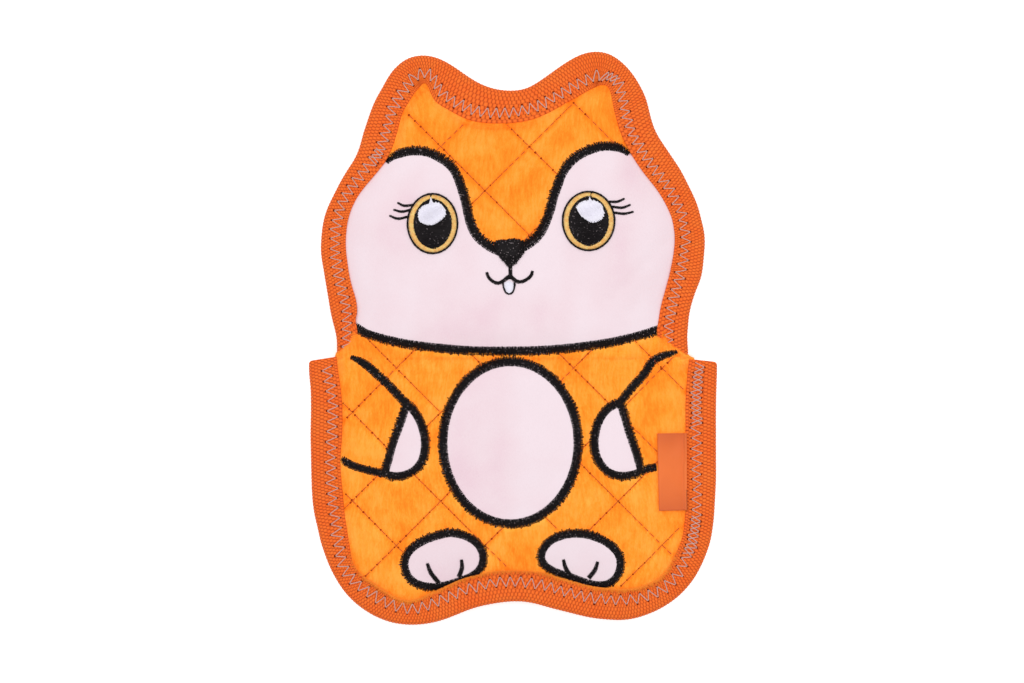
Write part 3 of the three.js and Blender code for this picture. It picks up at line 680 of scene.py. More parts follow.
def webbingMaterial():
    # Ribs across the tape, stepped from float to float: UV runs along the tape and across it, in metres
    finish = {
        "gap": "a82e04", "yarn": "fa5410", "light": "ff8a34", "sheen": "ff8a3c", "rib": 1.5 * mm,
        "float": 1.5 * mm, "stepped": 0.38, "wavy": 0.9 * mm, "strandRound": 0.5, "yarnRound": 0.4,
        "yarnShare": 0.45, "blotches": (330.0, 2.0), "patches": (90.0, 3.0), "fibres": (4200.0, 2.0),
        "shares": (0.4, 0.4, 0.2), "fibreRise": 0.3, "bump": (0.3 * mm, 0.8),
    }
    material, nodes, inputs = startMaterial("webbingWeave", roughness=0.75, sheen=0.5, specular=0.2)
    inputs["Sheen Tint"].default_value = colour(finish["sheen"])
    along, across, _ = nodes.split(nodes.add("ShaderNodeUVMap", {"uv_map": "weave"}))
    place = objectPlace(nodes)
    blotches = noise(nodes, place, *finish["blotches"])
    column = across / finish["float"]
    row = (along + blotches * finish["wavy"]) / finish["rib"] + column.floor() * finish["stepped"]
    yarn = (column.fract() * math.pi).sin()
    strand = (row.fract() * math.pi).sin()
    share = finish["yarnShare"]
    height = strand ** finish["strandRound"] * ((1 - share) + share * yarn ** finish["yarnRound"])
    patches = noise(nodes, place, *finish["patches"])
    fibres = noise(nodes, place, *finish["fibres"])
    mixed = weighed(finish["shares"], patches, blotches, fibres)
    base = nodes.blendColours(mixed, finish["yarn"], finish["light"])
    # Painted shade: the gap colour darkens the hollows between the yarns and ribs
    shade = nodes.blendColours(height, finish["gap"], base)
    paint(nodes, inputs, shade, height + fibres * finish["fibreRise"], finish["bump"])
    return material


def threadMaterial(name, dark, light, roughness=0.5, sheen=0.1, specular=0.3, **more):
    # specks is the colour of pale spots between threads, painted highlights; "few" is higher where they are
    # fewer
    finish = {
        "grain": 1900.0, "grainDetail": 3.0, "specks": None, "few": 0.7, "glintSize": (1500.0, 1.0),
        "glintEdge": 0.06, "twist": (6000.0, 1.0), "bump": (0.08 * mm, 0.6), **more,
    }
    material, nodes, inputs = startMaterial(name, roughness, sheen, specular)
    place = objectPlace(nodes)
    strands = noise(nodes, place, finish["grain"], finish["grainDetail"])
    shade = nodes.blendColours(strands, dark, light)
    if finish["specks"]:
        glintSpot = noise(nodes, place, *finish["glintSize"])
        full = finish["few"] + finish["glintEdge"]
        glintSpot = ramp(nodes, glintSpot, (finish["few"], "000000"), (full, "ffffff"))
        # Painted highlights: pale glints over the thread's own colour
        shade = nodes.blendColours(glintSpot, shade, finish["specks"])
    paint(nodes, inputs, shade, noise(nodes, place, *finish["twist"]), finish["bump"])
    return material


def labelMaterial():
    # A satin ribbon: fine ribs across it, bare, with a painted sheen, lighter in its middle and darker
    # towards both ends
    finish = {
        "dark": "c04c1c", "light": "f07428", "rib": 0.42 * mm, "warpShare": 0.6, "middle": 58 * mm,
        "sheenLong": 46 * mm, "cloudy": (120.0, 3.0), "shares": (0.75, 0.2, 0.1, 0.1), "darker": 0.1,
        "ribRise": 0.7, "bump": (0.06 * mm, 0.7),
    }
    material, nodes, inputs = startMaterial("ribbonWeave", roughness=0.5, sheen=0.15, specular=0.4)
    place = objectPlace(nodes)
    x, y, _ = nodes.split(place)
    ribs = (y * (2 * math.pi / finish["rib"])).sin() * 0.5 + 0.5
    warp = (x * (2 * math.pi / (finish["rib"] * finish["warpShare"]))).sin() * 0.5 + 0.5
    cloudy = noise(nodes, place, *finish["cloudy"])
    # Painted sheen: lighter in the ribbon's middle, darker towards its ends
    ends = ((y + finish["middle"]) * (math.pi / finish["sheenLong"])).cos()
    mixed = weighed(finish["shares"], ends, cloudy, ribs, warp) - finish["darker"]
    shade = nodes.blendColours(mixed, finish["dark"], finish["light"])
    height = ribs * finish["ribRise"] + warp * (1 - finish["ribRise"])
    paint(nodes, inputs, shade, height, finish["bump"])
    return material


def innerMaterial(name, dark, light, roughness, grain, depth):
    material, nodes, inputs = startMaterial(name, roughness)
    height = noise(nodes, objectPlace(nodes), grain, 4.0)
    paint(nodes, inputs, nodes.blendColours(height, dark, light), height, (depth, 1.0))
    return material


plushFabric = plushMaterial("plushFabric", False)
plushNap = plushMaterial("plushNap", True)
velboaFabric = velboaMaterial()
webbingWeave = webbingMaterial()
# The black thread carries painted glints
blackThread = threadMaterial("blackThread", "070606", "1a1417", 0.6, 0.0, 0.12, specks="94888b", few=0.68)
goldThread = threadMaterial("goldThread", "ec8c24", "fff4a4", 0.45, grain=850.0)
whiteThread = threadMaterial("whiteThread", "e4dfee", "f8f6ff", 0.5)
zigzagThread = threadMaterial("zigzagThread", "b8867c", "e2c4b8", 0.4)
quiltThread = threadMaterial("quiltThread", "c45216", "e4761f", 0.8)
# Painted shade: dark dots where the needle holes are
needleHoleShade = threadMaterial("needleHoleShade", "5a1a06", "8c3010", 0.9, 0.0, 0.05)
# Painted shade: dark dots at the ends of the quilting stitches
quiltPitShade = threadMaterial("quiltPitShade", "8a2e08", "b8480f", 0.9, 0.0, 0.05)
fuzzFibre = threadMaterial("fuzzFibre", "ec6a1c", "ffa43a", 0.9, 0.1, 0.1)
ribbonWeave = labelMaterial()
waddingFluff = innerMaterial("waddingFluff", "e2ddd2", "f7f4ee", 0.95, 600.0, 0.6 * mm)
bulbVinyl = innerMaterial("bulbVinyl", "dcd8ca", "efece2", 0.45, 160.0, 0.05 * mm)
reedPlastic = innerMaterial("reedPlastic", "e6e2ea", "f6f4f8", 0.3, 90.0, 0.02 * mm)
print("materials made")

# Pieces


def finishPiece(piece, slot, carrier, *nodes):
    # carrier is a body's name, or "fold" for a piece that stays unattached, its transform baked in
    if carrier == "fold":
        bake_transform(piece)
    else:
        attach(piece, carrier)
    if nodes:
        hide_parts(*nodes)
    return piece


def nodeName(name):
    # The name in the CAD's way: eyeRingLeft is eye_ring_left there, and lashLeft1 is lash_left_1
    return "".join(
        "_" + letter.lower() if letter.isupper() or letter.isdigit() else letter for letter in name)


shell = {"overhang": 0.8 * grid["step"], "leastSlope": 0.3}


def gridShell(name, reach, top, low, material, bulge=0.0):
    # A closed shell over the grid where reach is above nothing, from one height to another
    slopeY, slopeX = np.gradient(reach, grid["step"])
    kept = reach > -shell["overhang"]
    quadKept = kept[:-1, :-1] & kept[:-1, 1:] & kept[1:, 1:] & kept[1:, :-1]
    used = np.zeros(kept.shape, bool)
    for rows in (slice(None, -1), slice(1, None)):
        for columns in (slice(None, -1), slice(1, None)):
            used[rows, columns] |= quadKept
    numbers = np.full(kept.shape, -1)
    numbers[used] = np.arange(used.sum())
    quads = gridQuads(numbers)[quadKept]
    length = np.maximum(np.hypot(slopeX, slopeY), shell["leastSlope"])
    outside = np.clip(-reach, 0, None)
    x = (gridX + outside * slopeX / length)[used]
    y = (gridY + outside * slopeY / length)[used]
    count = len(x)

    # The rim is what only one square has, and a ring of points runs halfway down its wall
    sides = np.concatenate([quads[:, [at, (at + 1) % 4]] for at in range(4)])
    keys = np.sort(sides, axis=1)
    _, first, times = np.unique(keys[:, 0] * count + keys[:, 1], return_index=True, return_counts=True)
    start, end = sides[first[times == 1]].T
    rimPoints = np.unique([start, end])
    rimNumbers = np.full(count, -1)
    rimNumbers[rimPoints] = 2 * count + np.arange(len(rimPoints))
    walls = np.concatenate([
        np.column_stack([end, start, rimNumbers[start], rimNumbers[end]]),
        np.column_stack([rimNumbers[end], rimNumbers[start], start + count, end + count])])
    topPlaces = np.column_stack([x, y, sample(top, x, y)])
    lowPlaces = np.column_stack([x, y, sample(low, x, y)])
    middle = (topPlaces[rimPoints] + lowPlaces[rimPoints]) / 2
    for axis, slope in ((0, slopeX), (1, slopeY)):
        middle[:, axis] -= sample(slope / length, x, y)[rimPoints] * bulge
    places = np.vstack([topPlaces, lowPlaces, middle])
    return addPiece(name, places, np.vstack([quads, quads[:, ::-1] + count, walls]), material)


seamBulge = 1.2 * mm  # how far the cover's edge bulges, under the webbing
cover = gridShell(
    "plushCover", domain, toy["middle"] + frontHeight, toy["middle"] - backHeight, plushFabric, seamBulge)
print("cover has", len(cover.data.polygons), "faces")

patchLift = {"high": 0.6 * mm, "low": 0.15 * mm, "rounding": 1.2 * mm, "soft": 0.6}


def makePatches():
    base = toy["middle"] + frontHeight
    for name, reach in patchDistance.items():
        rounded = 1 - (1 - np.clip(reach / patchLift["rounding"], 0, 1)) ** 2
        top = base + patchLift["low"] + (patchLift["high"] - patchLift["low"]) * rounded
        patch = gridShell(name, reach, top, base - patchLift["low"], velboaFabric)
        carrier = "fold" if name in ("facePatch", "bellyPatch") else "torso"
        finishPiece(patch, "velboa", carrier, nodeName(name))


makePatches()
patchRise = np.max([np.clip(reach / patchLift["rounding"], 0, 1) for reach in patchDistance.values()], axis=0)
dressedHeight = frontHeight + patchLift["high"] * blurred(patchRise, patchLift["soft"])
print("patches made")

# Webbing folded round each lobe

web = {
    "step": 0.33 * mm, "thick": 1.1 * mm, "half": 3.4 * mm, "fold": 2.8 * mm, "least": 7 * mm,
    "most": 19 * mm, "soften": 2.2 * mm, "edgeRound": 0.45 * mm, "cornerRound": 1.7 * mm,
    "slantReach": 18 * mm, "rib": 1.5 * mm, "ribDepth": 0.17 * mm,
    "faceShares": [0, 0.012, 0.035, *np.linspace(0.09, 1, 12)],
    "parallel": 1e-12, "foldSteps": 10, "innerStep": 5 * mm, "swells": ((0.03, 95, 0), (0.02, 213, 1)),
    "stitchInset": 2.3 * mm, "stitchWidth": 4.7 * mm, "stitchDip": 0.4 * mm, "dipShare": 0.42,
}
seamEnds = {"head": [(357, 362), (658, 362)], "body": [(690, 345), (336, 345)]}


def webbingPath(outline, seam, ends, inward):
    # The outer edge, the way inwards and the width of the tape's face, at each step
    line = softened(smoothPath(fromPhoto(outline), web["step"]), web["soften"] / web["step"])
    side = softened(sideways(line) * inward, web["soften"] / web["step"])
    side /= np.linalg.norm(side, axis=1)[:, None]
    seamLine = smoothPath(fromPhoto([ends[0], *seam, ends[1]]), steps["line"])
    run = seamLine[None, 1:] - seamLine[None, :-1]
    toStart = seamLine[None, :-1] - line[:, None]

    def cross(first, second):
        return first[..., 0] * second[..., 1] - first[..., 1] * second[..., 0]

    # Where the line straight inwards meets each stretch of the seam
    turned = cross(side[:, None], run)
    turned = np.where(np.abs(turned) < web["parallel"], web["parallel"], turned)
    away = cross(toStart, run) / turned
    share = cross(toStart, side[:, None]) / turned
    hits = (share >= 0) & (share <= 1) & (away > web["least"]) & (away < web["most"])
    widths = np.where(hits, away, np.inf).min(axis=1)
    known = np.isfinite(widths)
    order = np.arange(len(widths))
    widths = np.interp(order, order[known], widths[known])
    return line, side, softened(widths, web["soften"] / web["step"])


def tapeHalf(inside, width):
    # Half the folded tape's thickness, some way in from its outer edge
    round01 = np.clip(inside / web["fold"], 0, 1)
    half = web["half"] * np.sqrt(np.clip(1 - (1 - round01) ** 2, 0, 1))
    middle = width - web["stitchInset"] - web["stitchWidth"] / 2
    dipHalf = web["dipShare"] * web["stitchWidth"]
    half = half - web["stitchDip"] * np.exp(-((inside - middle) / dipHalf) ** 4)
    edge = np.clip((width - inside) / web["edgeRound"], 0, 1)
    return half - web["edgeRound"] * (1 - np.sqrt(1 - (1 - edge) ** 2))


def webSwell(along):
    (depth, often, start), (depth2, often2, start2) = web["swells"]
    return 1 + depth * np.sin(along * often + start) + depth2 * np.sin(along * often2 + start2)


def endShift(inside, widths, fromStart, slants):
    # How far a tape's end is cut back or drawn out along the tape, for each point some way in
    shift = 0 * widths
    corner = web["cornerRound"]
    rounded = corner - np.sqrt(corner**2 - (corner - np.clip(inside, 0, corner)) ** 2)
    for away, amount, inward in ((fromStart, slants[0], 1), (fromStart[::-1], slants[1], -1)):
        shift = shift + amount * (inside / widths) * step01(1 - away / web["slantReach"])
        shift = shift + inward * rounded * step01(1 - away / (3 * corner))
    return shift


def webbingSection(widths, along):
    # The points round the folded tape's section, from its inner edge over the fold and back, then inside
    # it: how far in and how high each runs along the tape, and how far across the weave it lies
    rib = web["ribDepth"] * (np.abs(np.cos(math.pi * along / web["rib"])) - 1)
    swelling = webSwell(along)
    ring = []
    for share in web["faceShares"]:
        inside = widths - (widths - web["fold"]) * share
        ring.append((inside, tapeHalf(inside, widths) * swelling + rib))
    for turn in np.radians(np.linspace(90, -90, web["foldSteps"] + 1)[1:-1]):
        inside = web["fold"] - (web["fold"] + rib) * math.cos(turn)
        ring.append((inside, (web["half"] * swelling + rib) * math.sin(turn)))
    for share in web["faceShares"][::-1]:
        inside = widths - (widths - web["fold"]) * share
        ring.append((inside, -(tapeHalf(inside, widths) * swelling + rib)))
    across = [0.0]
    for (insideA, heightA), (insideB, heightB) in zip(ring, ring[1:]):
        across.append(across[-1] + float(np.hypot((insideB - insideA).mean(), (heightB - heightA).mean())))
    for share, sign in [(1, -1), (0.5, -1), (0, 0), (0.5, 1), (1, 1)]:
        inside = web["thick"] + (widths - web["thick"]) * share
        ring.append((inside, sign * (tapeHalf(inside, widths) * swelling - web["thick"])))
        across.append(across[-1] + web["innerStep"])
    return ring, np.array([*across, across[-1] + web["innerStep"]])


def makeWebbing(name, path, endSlants, node):
    line, side, widths = path
    count = len(line)
    along = np.arange(count) * web["step"]
    forward = np.column_stack([side[:, 1], -side[:, 0]])
    if (forward[count // 2] * (line[count // 2 + 1] - line[count // 2])).sum() < 0:
        forward = -forward
    ring, across = webbingSection(widths, along)
    places, alongs = [], []
    for inside, height in ring:
        shift = endShift(inside, widths, along, endSlants)
        flat = line + side * inside[:, None] + forward * shift[:, None]
        places.append(np.column_stack([flat, toy["middle"] + height]))
        alongs.append(along + shift)
    alongs = np.stack(alongs, axis=1)
    sides = len(ring)
    ends = [list(range(sides - 1, -1, -1)), list(range((count - 1) * sides, count * sides))]
    faces = [*ringQuads(count, sides).tolist(), *ends]
    tape = addPiece(name, np.stack(places, axis=1).reshape(-1, 3), faces, webbingWeave)

    # The weave runs along and across the tape, also round its cut ends
    column = np.tile(np.arange(sides), count - 1)
    row = np.repeat(np.arange(count - 1), sides)
    u = [alongs[row + up, (column + right) % sides] for up, right in ((0, 0), (0, 1), (1, 1), (1, 0))]
    v = [across[column + right] for right in (0, 1, 1, 0)]
    endU = np.repeat([along[0], along[-1]], sides)
    endV = np.concatenate([across[:sides][::-1], across[:sides]])
    weave = np.column_stack([
        np.append(np.stack(u, axis=1).ravel(), endU), np.append(np.stack(v, axis=1).ravel(), endV)])
    tape.data.uv_layers.new(name="weave").data.foreach_set("uv", weave.ravel())
    turnOutward(tape.data)
    return finishPiece(tape, "webbing", "fold", node)


endSlants = {"head": (9 * mm, -9 * mm), "body": (-2 * mm, 1.3 * mm)}
headPath = webbingPath(headOutline, headSeam, seamEnds["head"], -1)
bodyPath = webbingPath(bodyOutline, bodySeam, seamEnds["body"], 1)
makeWebbing("headWebbing", headPath, endSlants["head"], "head_binding")
makeWebbing("bodyWebbing", bodyPath, endSlants["body"], "body_binding")
print("webbing made")

# Waddings under the plush, a sheet above and below the middle in each lobe
waddingSize = {"under": 1.2 * mm, "apart": 0.2 * mm, "fromEdge": 2.6 * mm, "fromFold": 6 * mm, "fill": 0.6}


def makeWaddings():
    for lobe, way in (("head", 1), ("body", -1)):
        reach = np.minimum(
            edgeDistance - waddingSize["fromEdge"], way * (gridY - toy["fold"]) - waddingSize["fromFold"])
        for side, height in (("Front", frontHeight), ("Back", backHeight)):
            outer = np.maximum(height - waddingSize["under"], 2 * waddingSize["apart"])
            inner = waddingSize["apart"] + 0 * outer
            top, low = (outer, inner) if side == "Front" else (-inner, -outer)
            name = f"{lobe}{side}Wadding"
            wadding = gridShell(name, reach, toy["middle"] + top, toy["middle"] + low, waddingFluff)
            finishPiece(wadding, "wadding", "fold", nodeName(name))


def paintSqueaker():
    # It keeps its CAD solids, in the finish of vinyl and hard plastic
    for name, material in (("squeaker_bulb", bulbVinyl), ("squeaker_reed", reedPlastic)):
        for slot in bpy.data.objects[name].material_slots:
            slot.material = material


makeWaddings()
paintSqueaker()
print("waddings made")

# Threads, set along lines by nodes


def startTree(name, numbers, seed=None):
    # A tree that takes a mesh, the numbers named, a seed where one is given here, and a material
    tree = bpy.data.node_groups.new(name, "GeometryNodeTree")
    kinds = {"line": "Geometry", **dict.fromkeys(numbers, "Float"), "seed": "Int", "material": "Material"}
    if seed is None:
        del kinds["seed"]
    for label, kind in kinds.items():
        socket = tree.interface.new_socket(label, in_out="INPUT", socket_type="NodeSocket" + kind)
        if label == "seed":
            socket.default_value = seed
    tree.interface.new_socket("grown", in_out="OUTPUT", socket_type="NodeSocketGeometry")
    start = tree.nodes.new("NodeGroupInput")
    nodes = Nodes(tree)
    return nodes, {socket.name: Value(nodes, socket) for socket in start.outputs if socket.name}


def endTree(nodes, shape, given):
    real = nodes.add("GeometryNodeRealizeInstances", None, {0: shape})
    painted = nodes.add("GeometryNodeSetMaterial", None, {"Geometry": real, "Material": given["material"]})
    nodes.give(nodes.tree.nodes.new("NodeGroupOutput").inputs[0], painted)
    return nodes.tree


def grown(source, tree, values, marks=None):
    # The mesh that a tree makes of an object, which carries a number on each of its points for each mark;
    # the tree takes the values that have its inputs' names
    for label, numbers in (marks or {}).items():
        mark = source.data.attributes.new(label, "FLOAT", "POINT")
        mark.data.foreach_set("value", np.asarray(numbers, float))
    modifier = source.modifiers.new("grow", "NODES")
    modifier.node_group = tree
    for item in tree.interface.items_tree:
        if item.in_out == "INPUT" and item.name in values:
            modifier[item.identifier] = values[item.name]
    graph = bpy.context.evaluated_depsgraph_get()
    mesh = bpy.data.meshes.new_from_object(source.evaluated_get(graph), depsgraph=graph)
    bpy.data.objects.remove(source)
    return mesh


def addGrown(name, mesh, slot):
    mesh.name = name
    mesh.shade_smooth()
    finishPiece(placeMesh(name, mesh), slot, "fold")


def growPiece(name, slot, places, edges, tree, values, marks=None):
    # A piece that a tree makes along a line or on single points
    mesh = grown(addPiece(name + "Line", places, [], None, edges), tree, values, marks)
    addGrown(name, mesh, slot)
    return mesh


def randomValue(nodes, given, number, low, high):
    # Each number draws on its own
    seed = given["seed"] + float(number)
    return nodes.add("FunctionNodeRandomValue", {"data_type": "FLOAT"}, {2: low, 3: high, 8: seed}, 1)


def named(nodes, label):
    return nodes.add("GeometryNodeInputNamedAttribute", {"data_type": "FLOAT"}, {"Name": label})


def placeOnPoints(nodes, points, shape, scale, rotation=(0, 0, 0)):
    return nodes.add("GeometryNodeInstanceOnPoints", None, {
        "Points": points, "Instance": shape, "Rotation": rotation, "Scale": scale})


def turnedBy(nodes, rotation, angles):
    # Turned on about the axes that the rotation has turned already
    euler = nodes.add("FunctionNodeEulerToRotation", None, {0: angles})
    return nodes.add("FunctionNodeRotateRotation", {"rotation_space": "LOCAL"}, {
        "Rotation": rotation, "Rotate By": euler})


def archThread(nodes, rise, radius, bends, sides):
    # A thread one metre long over a low arch, to be scaled along X
    arch = nodes.add("GeometryNodeCurveQuadraticBezier", None, {
        "Resolution": bends, "Start": (-0.5, 0, 0), "Middle": nodes.vector(0.0, 0.0, rise * 2.0),
        "End": (0.5, 0, 0)})
    circle = nodes.add("GeometryNodeCurvePrimitiveCircle", None, {"Resolution": sides, "Radius": radius})
    return nodes.add("GeometryNodeCurveToMesh", None, {"Curve": arch, "Profile Curve": circle})


# How far the threads differ from each other: radians for what leans or rolls, shares for the rest
vary = {
    "satinLean": (-0.07, 0.07), "satinTall": (0.8, 1.15), "satinShift": (-0.08, 0.08), "dotWide": (0.75, 1.2),
    "stitchLean": (-0.09, 0.09), "stitchLong": (0.85, 1.1), "napLong": (0.6, 1.25), "napRoll": (-0.15, 0.15),
}


def makeSatinTree():
    nodes, given = startTree("satin", ["pitch", "radius", "rise", "ragged", "spill"], 3)
    curve = nodes.add("GeometryNodeMeshToCurve", None, {0: given["line"]})
    spread = nodes.tree.nodes.new("GeometryNodeCurveToPoints")
    spread.mode = "LENGTH"
    nodes.give(spread.inputs["Curve"], curve)
    nodes.give(spread.inputs["Length"], given["pitch"])
    points, tangent = Value(nodes, spread.outputs["Points"]), Value(nodes, spread.outputs["Tangent"])
    turned = nodes.add("FunctionNodeAlignRotationToVector", {"axis": "Y", "pivot_axis": "Z"}, {
        "Vector": tangent})
    lean = nodes.vector(0.0, 0.0, randomValue(nodes, given, 1, *vary["satinLean"]))
    leaning = turnedBy(nodes, turned, lean)
    ends = randomValue(nodes, given, 2, 0.0, 1.0) ** 2.0 * given["ragged"]
    long = named(nodes, "width") + ends
    size = nodes.vector(long, 1.0, randomValue(nodes, given, 3, *vary["satinTall"]))
    thread = archThread(nodes, given["rise"], given["radius"], 6, 5)
    placed = placeOnPoints(nodes, points, thread, size, leaning)
    jitter = randomValue(nodes, given, 4, *vary["satinShift"]) * given["ragged"]
    shift = (jitter + given["spill"] * (ends * 0.5) + named(nodes, "shift")) / long
    moved = nodes.add("GeometryNodeTranslateInstances", None, {
        "Instances": placed, "Translation": nodes.vector(shift, 0.0, 0.0), "Local Space": True})
    return endTree(nodes, moved, given)


def makeRunTree():
    nodes, given = startTree("run", ["radius"])
    curve = nodes.add("GeometryNodeMeshToCurve", None, {0: given["line"]})
    circle = nodes.add("GeometryNodeCurvePrimitiveCircle", None, {"Resolution": 6, "Radius": given["radius"]})
    tube = nodes.add("GeometryNodeCurveToMesh", None, {
        "Curve": curve, "Profile Curve": circle, "Fill Caps": True})
    return endTree(nodes, tube, given)


def makeDotTree():
    nodes, given = startTree("dots", ["radius", "flat"], 5)
    ball = nodes.add("GeometryNodeMeshIcoSphere", None, {"Radius": given["radius"], "Subdivisions": 1})
    wide = randomValue(nodes, given, 0, *vary["dotWide"])
    placed = placeOnPoints(nodes, given["line"], ball, nodes.vector(wide, wide, given["flat"]))
    return endTree(nodes, placed, given)


def makeStitchTree():
    nodes, given = startTree("stitches", ["long", "radius", "rise"], 7)
    turn = named(nodes, "turn") + randomValue(nodes, given, 0, *vary["stitchLean"])
    lean = nodes.vector(0.0, 0.0, turn)
    long = given["long"] * randomValue(nodes, given, 1, *vary["stitchLong"]) + named(nodes, "longer")
    size = nodes.vector(long, 1.0, 1.0)
    thread = archThread(nodes, given["rise"], given["radius"], 6, 6)
    turned = nodes.add("FunctionNodeEulerToRotation", None, {0: lean})
    return endTree(nodes, placeOnPoints(nodes, given["line"], thread, size, turned), given)


satinTree = makeSatinTree()
runTree = makeRunTree()
dotTree = makeDotTree()
stitchTree = makeStitchTree()
print("thread trees made")

# Embroidery

satin = {
    "pitch": 0.5 * mm, "radius": 0.24 * mm, "step": 1 * mm, "wider": 1.07, "spill": 0.7,
    "bedHeight": 0.34 * mm, "bedSunk": -0.3 * mm, "rows": 26, "rowInset": 0.015,
}
filled = {"bed": 0.95, "flat": 0.92}
laid = {
    "line": {"lift": 0.0, "rise": 0.45 * mm, "ragged": 0.9 * mm, "bed": 0.78, "flat": 0.7},
    "ring": {"lift": 0.05 * mm, "ragged": 0.15 * mm},
    "outline": {"lift": 0.12 * mm, "rise": 0.55 * mm, "ragged": 0.25 * mm},
    "pupil": {"lift": 0.1 * mm, "rise": 0.4 * mm, "ragged": 0.3 * mm, **filled},
    "glint": {"lift": 0.52 * mm, "rise": 0.4 * mm, "ragged": 0.15 * mm, **filled},
    "lash": {"rise": 0.3 * mm, "ragged": 0.2 * mm},
    "nose": {"lift": 0.5 * mm, "rise": 0.6 * mm, "ragged": 0.9 * mm, **filled},
    "mouth": {"rise": 0.35 * mm, "ragged": 0.3 * mm},
    "tooth": {"lift": 0.12 * mm, "rise": 0.25 * mm, "ragged": 0.05 * mm, **filled},
    "toe": {"rise": 0.35 * mm, "ragged": 0.25 * mm},
}
black, white, gold = (blackThread, "black_thread"), (whiteThread, "white_thread"), (goldThread, "gold_thread")


def satinPiece(name, runs, thread, carrier, kind="line", node=None, spill=0.0):
    # Runs are (pixel points, widths and side shifts in pixels, closed) lines with threads across them;
    # spill is above 0 where the ragged ends lie to a line's right and below 0 where they lie to its left
    lie = {**laid["line"], **laid[kind]}
    material, slot = thread
    rows = [(1, satin["bedSunk"]), (lie["flat"], satin["bedHeight"]), (-lie["flat"], satin["bedHeight"]),
            (-1, satin["bedSunk"])]
    start, lines, edges, bedPlaces, bedFaces = 0, [], [], [], []
    for points, wide, closed, *shifts in runs:
        spread = np.broadcast_to(np.asarray(wide, float), len(points))
        shift = np.asarray(shifts[0], float) if shifts else np.zeros(len(points))
        marked = np.column_stack([fromPhoto(points), spread * photo["pixel"], shift * photo["pixel"]])
        full = (evenPath if shifts else smoothPath)(marked, satin["step"], closed)
        count = len(full)
        here = np.arange(count if closed else count - 1)
        there = (here + 1) % count
        edges.append(start + np.column_stack([here, there]))
        left = sideways(full[:, :2].copy(), closed)
        middle = full[:, :2] - left * full[:, 3:]
        for share, height in rows:
            row = middle + share * lie["bed"] / 2 * left * full[:, 2:3]
            bedPlaces.append(np.column_stack([row, np.full(count, height)]))
        for row in (0, count, 2 * count):
            bedFaces.append(4 * start + row + np.column_stack([here, here + count, there + count, there]))
        lines.append(full)
        start += count
    whole = np.vstack(lines)
    places = np.column_stack([whole[:, :2], 0 * whole[:, 2]])
    line = addPiece(name + "Line", places, [], None, np.vstack(edges))
    values = {**satin, **lie, "spill": spill, "material": material}
    mesh = grown(line, satinTree, values, {"width": whole[:, 2], "shift": whole[:, 3]})
    threads = meshPlaces(mesh)
    corners = np.empty(len(mesh.loops), int)
    mesh.loops.foreach_get("vertex_index", corners)
    bpy.data.meshes.remove(mesh)
    places = np.vstack([threads, *bedPlaces])
    places[:, 2] += toy["middle"] + sample(dressedHeight, places[:, 0], places[:, 1]) + lie["lift"]
    faces = np.vstack([corners.reshape(-1, 4), np.vstack(bedFaces) + len(threads)])
    finishPiece(addPiece(name, places, faces, material), slot, carrier, node or nodeName(name))


def chordRuns(ring, turn=0.0):
    # A shape filled by threads across it, as one straight run with their lengths and side shifts
    ring = np.asarray(ring, float)
    cos, sin = math.cos(math.radians(turn)), math.sin(math.radians(turn))
    flat = np.column_stack([ring[:, 0] * cos + ring[:, 1] * sin, ring[:, 1] * cos - ring[:, 0] * sin])
    low, high = flat[:, 1].min(), flat[:, 1].max()
    spine = (flat[:, 0].min() + flat[:, 0].max()) / 2
    points, widths, shifts = [], [], []
    inset = satin["rowInset"] * (high - low)
    for level in np.linspace(low + inset, high - inset, satin["rows"]):
        crossings = []
        for (ax, ay), (bx, by) in zip(flat, np.roll(flat, -1, axis=0)):
            if (ay > level) != (by > level):
                crossings.append(ax + (level - ay) / (by - ay) * (bx - ax))
        points.append((spine * cos - level * sin, spine * sin + level * cos))
        widths.append(max(crossings) - min(crossings))
        shifts.append(spine - (min(crossings) + max(crossings)) / 2)
    return [(points, widths, False, shifts)]


